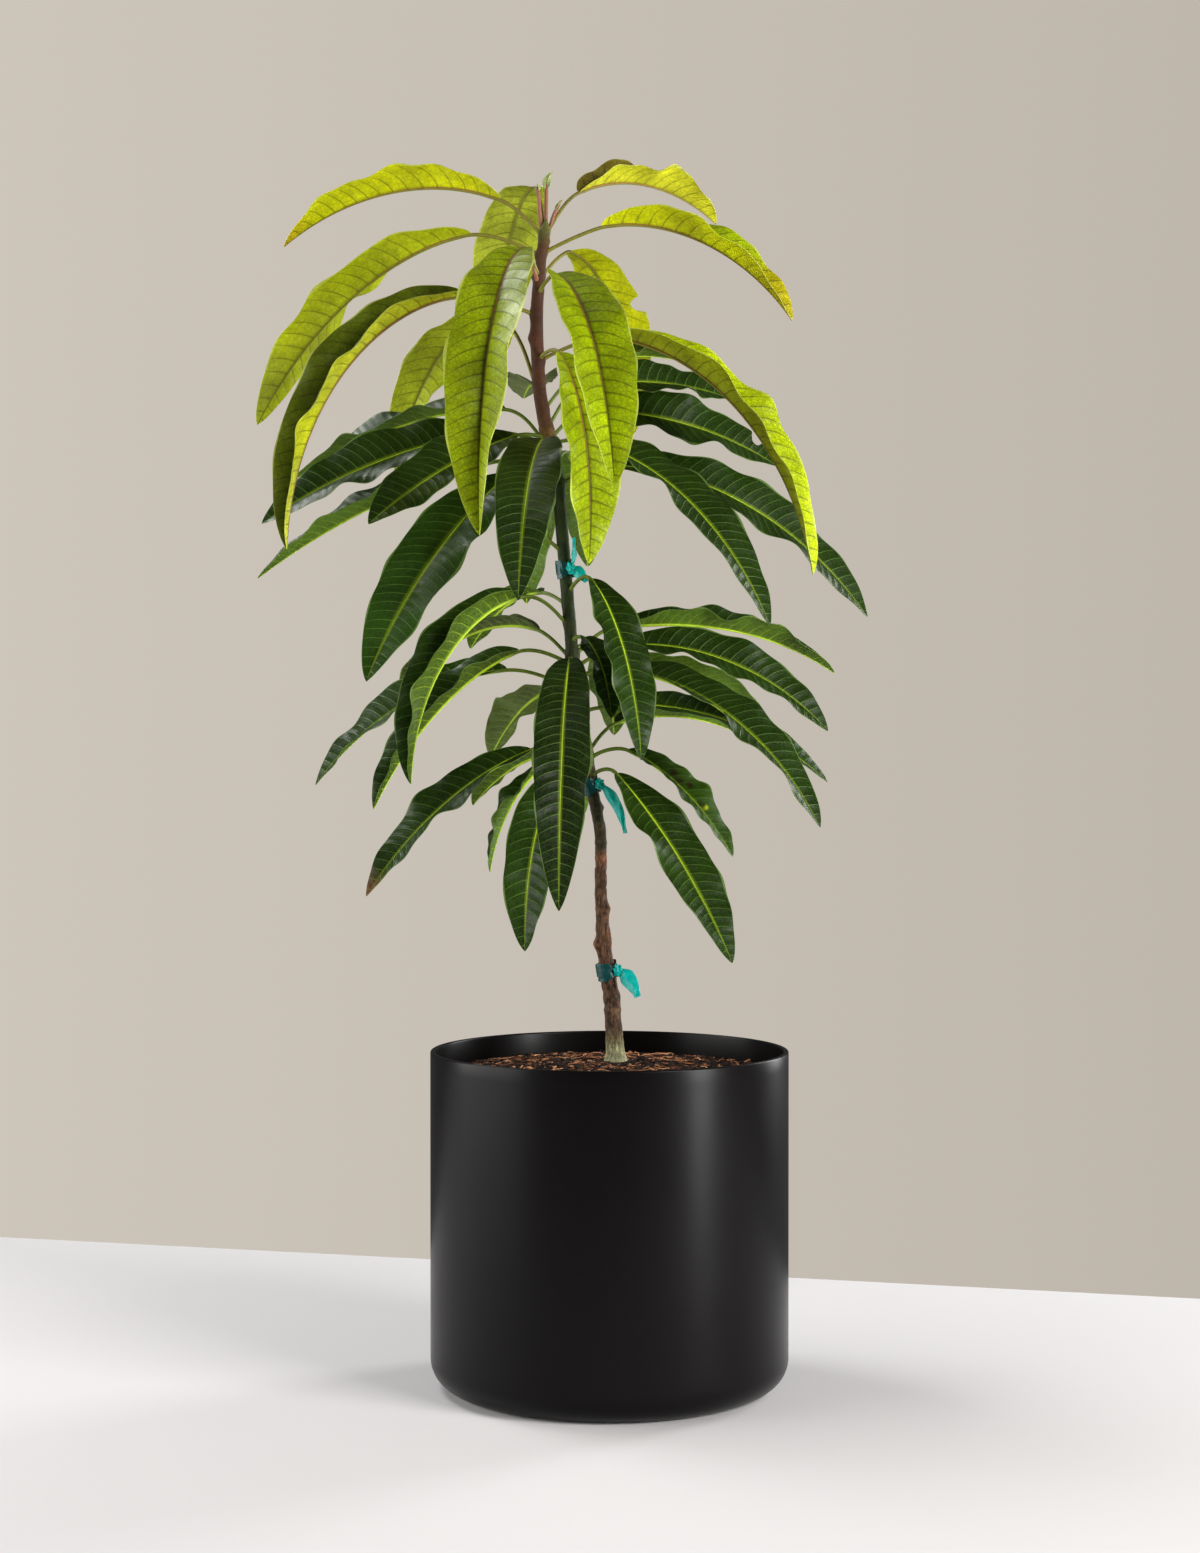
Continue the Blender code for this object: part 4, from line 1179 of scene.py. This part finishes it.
def make_soil(material):
    """The filling of the pot, with its crumbly top."""
    top = level_rings([(radius, 0.0) for radius in np.linspace(SOIL_INNER, SOIL_OUTER, SOIL_RINGS)],
                      SOIL_FINE_SIDES)
    tints = np.empty_like(top)
    strength, scale, layer = SOIL_SHADE
    for point, tint in zip(top.reshape(-1, 3), tints.reshape(-1, 3)):
        x, y = point[0], point[1]
        point[2] = soil_level(x, y)
        tint[:] = np.array(SOIL_DARK) * (1 + strength * noise.noise(Vector((x * scale, y * scale, layer))))
    base_round = POT_BASE_ROUND - POT_WALL
    low = POT_FLOOR + GAP
    profile = [(SOIL_OUTER, SOIL_EDGE_HEIGHT - SOIL_EDGE_DROP)]
    profile += reversed(arc(SOIL_OUTER - base_round, low + base_round, base_round, -90, 0, INSIDE_STEPS))
    profile += [(AXIS_RADIUS, low)]
    wall = level_rings(profile, SOIL_FINE_SIDES)
    tints = np.concatenate([tints, np.broadcast_to(SOIL_DARK, wall.shape)])
    shape = Shape()
    add_grid(shape, np.concatenate([top, wall]), tints, 0, flip=True, bake=WHOLE_MAP)
    piece = shape.build("soil_fine", [material], 50)
    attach(piece, BODY)
    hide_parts("soil")


def make_litter(material):
    """The chips and fibres that lie on the soil."""
    litter = Shape()
    rng = random.Random("chips")
    for _ in range(CHIP_COUNT):
        add_chip(litter, rng)
    for _ in range(FIBRE_COUNT):
        add_fibre(litter, rng)
    piece = litter.build("soil_litter", [material], 30, maps=False)
    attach(piece, BODY)


def litter_place(rng, reach):
    """A free spot on the soil, clear of the wall by reach and clear of the stem."""
    _, foot_x, foot_y, foot_radius = STEM_ROWS[0]
    while True:
        distance = (SOIL_OUTER - reach) * rng.random() ** 0.5
        turn = rng.uniform(0, 2 * pi)
        x, y = distance * cos(turn), distance * sin(turn)
        if (x - foot_x) ** 2 + (y - foot_y) ** 2 > (foot_radius + reach) ** 2:
            return x, y


def add_chip(shape, rng):
    """A flat broken chip of bark, lying tilted on the soil."""
    length = CHIP_LENGTH[0] + (CHIP_LENGTH[1] - CHIP_LENGTH[0]) * rng.random() ** CHIP_SHORTNESS
    wide, thick = length * rng.uniform(*CHIP_WIDTH), length * rng.uniform(*CHIP_THICKNESS)
    x, y = litter_place(rng, length / 2 + CHIP_SPACE)
    forward = heading(rng.uniform(0, 360), rng.uniform(-CHIP_TILT, CHIP_TILT))
    leaning = Vector((rng.uniform(-CHIP_LEAN, CHIP_LEAN), rng.uniform(-CHIP_LEAN, CHIP_LEAN), 1))
    side = forward.cross(leaning).normalized()
    up = side.cross(forward)
    centre = Vector((x, y, soil_level(x, y) + thick * CHIP_REST))
    points = []
    for a in (-1, 1):
        for b, c in ((-1, -1), (1, -1), (1, 1), (-1, 1)):
            jitter = [rng.uniform(*CHIP_JITTER) for _ in range(3)]
            points.append(centre + forward * a * length / 2 * jitter[0] + side * b * wide / 2 * jitter[1]
                          + up * c * thick / 2 * jitter[2])
    tint = np.array(rng.choice(SOIL_TINTS)) * rng.uniform(*CHIP_SHADES)
    first = shape.add_points([tuple(point) for point in points], tint)
    near = [first, first + 1, first + 2, first + 3]
    far = [corner + 4 for corner in near]
    faces = [near[::-1], far]
    faces += [[near[k - 1], near[k], far[k], far[k - 1]] for k in (1, 2, 3, 0)]
    if side.cross(up).dot(forward) < 0:
        faces = [face[::-1] for face in faces]
    shape.add_faces(faces, 0)


def add_fibre(shape, rng):
    """A thin bent fibre on the soil."""
    length = rng.uniform(*FIBRE_LENGTH)
    x, y = litter_place(rng, length / 2 + FIBRE_SPACE)
    turn, bend = rng.uniform(0, 360), rng.uniform(-FIBRE_BEND, FIBRE_BEND)
    furthest = SOIL_OUTER - WALL_SPACE
    point = Vector((x, y, 0)) - heading(turn, 0) * length / 2
    rings = []
    for k in range(FIBRE_STEPS):
        forward = heading(turn + bend * (k - FIBRE_STEPS // 2) / FIBRE_STEPS, 0)
        side = Vector((-forward.y, forward.x, 0))
        if point.xy.length > furthest:
            point.xy = point.xy.normalized() * furthest
        lift = FIBRE_LIFT[0] + FIBRE_LIFT[1] * rng.random()
        centre = Vector((point.x, point.y, soil_level(point.x, point.y) + lift))
        radius = FIBRE_RADIUS * rng.uniform(*FIBRE_THICKNESS)
        rings.append([tuple(centre + side * radius * a + Vector((0, 0, radius * b)))
                      for a, b in ((1, 0), (0, 1), (-1, 0), (0, -1))])
        point = point + forward * length / (FIBRE_STEPS - 1)
    tint = np.array(rng.choice(SOIL_TINTS)) * rng.uniform(*FIBRE_SHADES)
    add_grid(shape, np.array(rings), tint, 0)


# Fine tape mesh: sides and columns of a band, steps and columns of a tail
BAND_FINE_SIDES = 72
BAND_COLUMNS = 9
TAIL_FINE_STEPS = 28
TAIL_COLUMNS = 7
TAPE_FINE_THICKNESS = 0.0004
TAPE_FOLD_HEIGHT = 0.0006
# The two wraps of a band: lift in fold heights, share of the tape's width, and slant
WRAPS = [(0.0, 1.0, 0.0012), (1.2, 0.8, -0.0016)]
# How far from the knot a wrap is gathered, as an angle, and how much narrower it gets there
GATHER_REACH = 0.55
GATHER_SHARE = 0.45
# A tail: its most twist, its width at the knot as a share, where it is open, how wide it is cut, how
# deep its crease is and the height of its ripples
TAIL_TWIST = 25
TAIL_START = 0.35
TAIL_OPEN = 0.35
TAIL_EASE = 1.25
TAIL_CREASE = 0.35
TAIL_RIPPLE = 0.0004
# The knot's mesh, its size beside the solid one, its squash outwards, across and along, and how deep
# its two sets of folds are
KNOT_RINGS = 18
KNOT_FINE_SIDES = 28
KNOT_FIT = 0.98
KNOT_SQUASH = (0.9, 0.8, 1.1)
KNOT_FOLDS = (0.16, 0.10)
# Places on a tie's bake map, as low edge and height: the bands, the first tail, the step to the
# next one, and the knot
BAND_MAP = (0.01, 0.30)
TAIL_MAP = (0.34, 0.18)
TAIL_MAP_STEP = 0.20
KNOT_MAP = (0.76, 0.22)


def both_faces(columns):
    """A tape's columns on one face and back on the other, as face and share of the width."""
    across = [k / (columns - 1) for k in range(columns)]
    return [(0, share) for share in across] + [(1, share) for share in reversed(across)]


def add_band(shape, centre, along, outward, inner, width, slant, rng):
    """One crinkled wrap of tape round the stem, gathered towards its knot."""
    across = along.cross(outward)
    angles = 2 * pi * np.arange(BAND_FINE_SIDES) / BAND_FINE_SIDES
    shifts = [rng.uniform(0, 2 * pi) for _ in range(3)]
    section = both_faces(BAND_COLUMNS)
    rows = np.empty((BAND_FINE_SIDES, len(section), 3))
    for i, angle in enumerate(angles):
        gather = np.exp(-(min(angle, 2 * pi - angle) / GATHER_REACH) ** 2)
        ray = outward * cos(angle) + across * sin(angle)
        for c, (face, part) in enumerate(section):
            share = part - 0.5
            fold = (sin(share * 17 + shifts[0] + 0.8 * sin(angle * 2)) * (0.35 + gather)
                    + 0.5 * sin(angle * 9 + share * 6 + shifts[1]) + 0.3 * sin(angle * 23 + shifts[2]))
            reach = inner + TAPE_FOLD_HEIGHT * (1 + 0.5 * fold) + face * TAPE_FINE_THICKNESS
            rise = width * share * (1 - GATHER_SHARE * gather) + slant * sin(angle)
            rows[i, c] = centre + ray * reach + along * rise
    # The wraps take the darker copy of the tape's colour: painted shade
    first = shape.add_points(rows, BAND_PAINTED_SHADE)
    ring_rows, ring_columns = grid_corners(BAND_FINE_SIDES + 1, len(section))
    maps = {"OFBake": np.stack([MAP_MARGIN + MAP_WIDTH * ring_rows / BAND_FINE_SIDES,
                                BAND_MAP[0] + BAND_MAP[1] * ring_columns / len(section)], axis=2)}
    corners = (ring_rows % BAND_FINE_SIDES) * len(section) + ring_columns % len(section)
    shape.add_faces(first + corners, 0, maps)


def add_tail(shape, start, tail, place, rng):
    """A loose end of tape: gathered at the knot, creased along its middle, bending as it goes."""
    point = Vector(start)
    rows = []
    twist = rng.uniform(-TAIL_TWIST, TAIL_TWIST)
    level = Vector((-sin(radians(tail.turn)), cos(radians(tail.turn)), 0))
    for i in range(TAIL_FINE_STEPS + 1):
        t = i / TAIL_FINE_STEPS
        forward = heading(tail.turn, tail.angle + tail.bend * t)
        flat = forward.cross(level)
        turn = radians(twist * t)
        wide = flat * cos(turn) + level * sin(turn)
        through = level * cos(turn) - flat * sin(turn)
        opening = TAIL_START + (1 - TAIL_START) * float(smooth_step(0.0, TAIL_OPEN, t))
        half = tail.width / 2 * opening * (1 - TAIL_TAPER * float(smooth_step(TAIL_OPEN, 1.0, t))) * TAIL_EASE
        ring = []
        for face, part in both_faces(TAIL_COLUMNS):
            share = 2 * part - 1
            crease = half * TAIL_CREASE * abs(share) + TAIL_RIPPLE * sin(t * 14 + share * 5)
            ring.append(point + wide * half * share + through * (crease + (0.5 - face) * TAPE_FINE_THICKNESS))
        rows.append([tuple(p) for p in ring])
        point = point + forward * tail.length / TAIL_FINE_STEPS
    low, height = TAIL_MAP
    add_grid(shape, np.array(rows), TAPE_COLOR, 0, flip=True,
             bake=(MAP_MARGIN, low + TAIL_MAP_STEP * place, MAP_WIDTH, height))


def add_knot(shape, centre, outward, along, rng):
    """A tight lump of folded tape."""
    across = along.cross(outward)
    shift = rng.uniform(0, 2 * pi)
    rings = []
    for i in range(1, KNOT_RINGS):
        polar = pi * i / KNOT_RINGS
        ring = []
        for j in range(KNOT_FINE_SIDES):
            angle = 2 * pi * j / KNOT_FINE_SIDES
            fold = (1 + KNOT_FOLDS[0] * sin(5 * angle + 3 * polar + shift)
                    + KNOT_FOLDS[1] * sin(9 * polar + 2 * angle))
            reach = KNOT_RADIUS * KNOT_FIT * fold
            ring.append(tuple(centre + outward * cos(polar) * reach * KNOT_SQUASH[0]
                              + across * sin(polar) * cos(angle) * reach * KNOT_SQUASH[1]
                              + along * sin(polar) * sin(angle) * reach * KNOT_SQUASH[2]))
        rings.append(ring)
    low, height = KNOT_MAP
    add_grid(shape, np.array(rings), TAPE_COLOR, 0, flip=True, bake=(MAP_MARGIN, low, MAP_WIDTH, height))


def make_tie(tie, material):
    """A tape tie: two wraps, the knot and its loose ends."""
    rng = random.Random(tie.name)
    centre, radius = stem_at(tie.height)
    along = stem_direction(tie.height)
    outward = (heading(tie.turn, 0) - along * along.dot(heading(tie.turn, 0))).normalized()
    inner = radius * BAND_EASE + GAP
    knot_centre = centre + outward * (inner + TAPE_THICKNESS + KNOT_RADIUS * KNOT_OFFSET)
    shape = Shape()
    for lift, share, slant in WRAPS:
        add_band(shape, centre, along, outward, inner + TAPE_FOLD_HEIGHT * lift, TAPE_WIDTH * share,
                 slant, rng)
    add_knot(shape, knot_centre, outward, along, rng)
    for place, tail in enumerate(tie.tails):
        add_tail(shape, knot_centre, tail, place, rng)
    piece = shape.build(tie.name + "_fine", [material], 40)
    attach(piece, BODY)
    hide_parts(tie.name)


def make_camera():
    """The camera in front of the tree, with its lens."""
    data = bpy.data.cameras.new("camera")
    data.lens = CAMERA_LENS
    data.sensor_width = CAMERA_SENSOR
    camera = add_object("camera", data)
    camera.location = CAMERA_PLACE
    camera.rotation_euler = (radians(90 - CAMERA_TILT), 0, 0)
    bpy.context.scene.camera = camera


# Soft lights: name, place, aimed-at point, width, height, power and colour
SoftLight = namedtuple("SoftLight", "name place target width height power color")
LIGHTS = [
    SoftLight("key", (1.6, -1.7, 1.4), (0, 0, 0.62), 0.8, 0.8, 38, (1.0, 0.98, 0.95)),
    SoftLight("left", (-2.0, -0.3, 0.64), (0, 0, 0.3), 2.1, 1.14, 46, (1.0, 0.99, 0.97)),
    SoftLight("strip", (1.55, -1.0, 0.42), (0, 0, 0.2), 0.34, 0.8, 28, (1.0, 0.99, 0.98)),
    SoftLight("rim", (1.6, 1.2, 0.8), (0, 0, 0.4), 0.6, 1.4, 27, (1.0, 1.0, 1.0)),
    SoftLight("top", (-1.2, 0.8, 2.1), (0, 0, 0.5), 0.8, 0.8, 24, (1.0, 1.0, 1.0)),
]


def make_lights():
    """Soft rectangular lights, each turned to the point it is aimed at."""
    for light in LIGHTS:
        data = bpy.data.lights.new(light.name, "AREA")
        data.shape = "RECTANGLE"
        data.size = light.width
        data.size_y = light.height
        data.energy = light.power
        data.color = light.color
        lamp = add_object(light.name, data)
        lamp.location = light.place
        aim = Vector(light.target) - Vector(light.place)
        lamp.rotation_euler = aim.to_track_quat("-Z", "Y").to_euler()


# Light from all round: its colour and strength
AMBIENT_COLOR = (1.0, 0.98, 0.95)
AMBIENT_STRENGTH = 0.09
# How far to the side the wall's colour goes from its lighter left to its darker right value, a painted
# fall-off of the light across the wall
WALL_SPREAD = 0.22


def make_surroundings():
    """The wall's colour behind everything, painted lighter on the left than on the right, and an even dimmer
    light from all round.
    """
    world = bpy.data.worlds.new("studio")
    bpy.context.scene.world = world
    world.use_nodes = True
    world.node_tree.nodes.clear()
    made = Nodes(world.node_tree)
    sideways, _ = made.split(made.add("ShaderNodeTexCoord").outputs["Generated"])
    color = made.mix(made.fit(sideways, -WALL_SPREAD, WALL_SPREAD, kind="LINEAR"), WALL_LEFT, WALL_RIGHT)
    wall = made.add("ShaderNodeBackground", {0: color}).outputs[0]
    light = made.add("ShaderNodeBackground", {0: AMBIENT_COLOR, 1: AMBIENT_STRENGTH}).outputs[0]
    seen = made.add("ShaderNodeLightPath").outputs["Is Camera Ray"]
    both = made.add("ShaderNodeMixShader", {0: seen, 1: light, 2: wall}).outputs[0]
    made.add("ShaderNodeOutputWorld", {0: both})


def make_floor():
    """A pale floor whose far edge slants behind the pot."""
    left, right = Vector(FLOOR_EDGE_LEFT), Vector(FLOOR_EDGE_RIGHT)
    along = (right - left).normalized() * FLOOR_REACH
    corners = [(*(left - along), 0), (*(right + along), 0),
               (right.x + along.x, -FLOOR_REACH, 0), (left.x - along.x, -FLOOR_REACH, 0)]
    made = Coating("floor_paper")
    patches = made.mottle(made.place(), 3.0, 3.0, 0.0, 0.03)
    made.set(Base_Color=made.mix(patches, FLOOR_COLOR, WALL_LEFT), Roughness=0.85)
    mesh = bpy.data.meshes.new("floor")
    mesh.from_pydata(corners, [], [(3, 2, 1, 0)])
    mesh.materials.append(made.material)
    add_object("floor", mesh)


def leaf_materials(face, back, rib_name):
    """The materials of a leaf's two faces and of its rib and stalk, in the order of their slots."""
    rib = plain_material(rib_name, 0.48, 320.0, 0.88, 1.12, 0.0002, 0.25)
    return [blade_material(face), blade_material(back), rib]


def make_leaves():
    """All leaves, each with the materials and look of its kind or its own look."""
    bud = plain_material("bud_leaf", 0.5, 300.0, 0.9, 1.1, 0.0002)
    groups = [(TOP_LEAVES, YOUNG_LOOK, leaf_materials(YOUNG_FACE, YOUNG_BACK, "young_rib")),
              (GROWN_LEAVES, GROWN_LOOK, leaf_materials(GROWN_FACE, GROWN_BACK, "grown_rib")),
              (BUD_LEAVES, BUD_LOOK, [bud, bud, bud])]
    for leaves, look, materials in groups:
        for leaf in leaves:
            make_leaf(leaf, LEAF_LOOKS.get(leaf.name, look), materials, node=leaves is not BUD_LEAVES)


def main():
    """Build the camera, the stage and every piece."""
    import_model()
    make_camera()
    make_lights()
    make_surroundings()
    make_floor()
    bpy.context.scene.view_settings.view_transform = "Standard"
    make_pot(surface_material("pot_plastic", (9.0, 4.0, 0.92, 1.08), (24.0, 4.0, 0.28, 0.32),
                              (900.0, 2.0, 0.08, 0.0002), 0.12))
    soil = plain_material("soil_mix", 0.92, 700.0, 0.7, 1.3, 0.0006)
    make_soil(soil)
    make_litter(soil)
    make_stem(plain_material("stem_bark", 0.72, 520.0, 0.8, 1.2, 0.0005))
    tape = surface_material("tape_vinyl", (240.0, 3.0, 0.85, 1.15), (120.0, 3.0, 0.28, 0.40),
                            (520.0, 3.0, 0.35, 0.0003), 0.28)
    for tie in TIES:
        make_tie(tie, tape)
    make_leaves()


main()
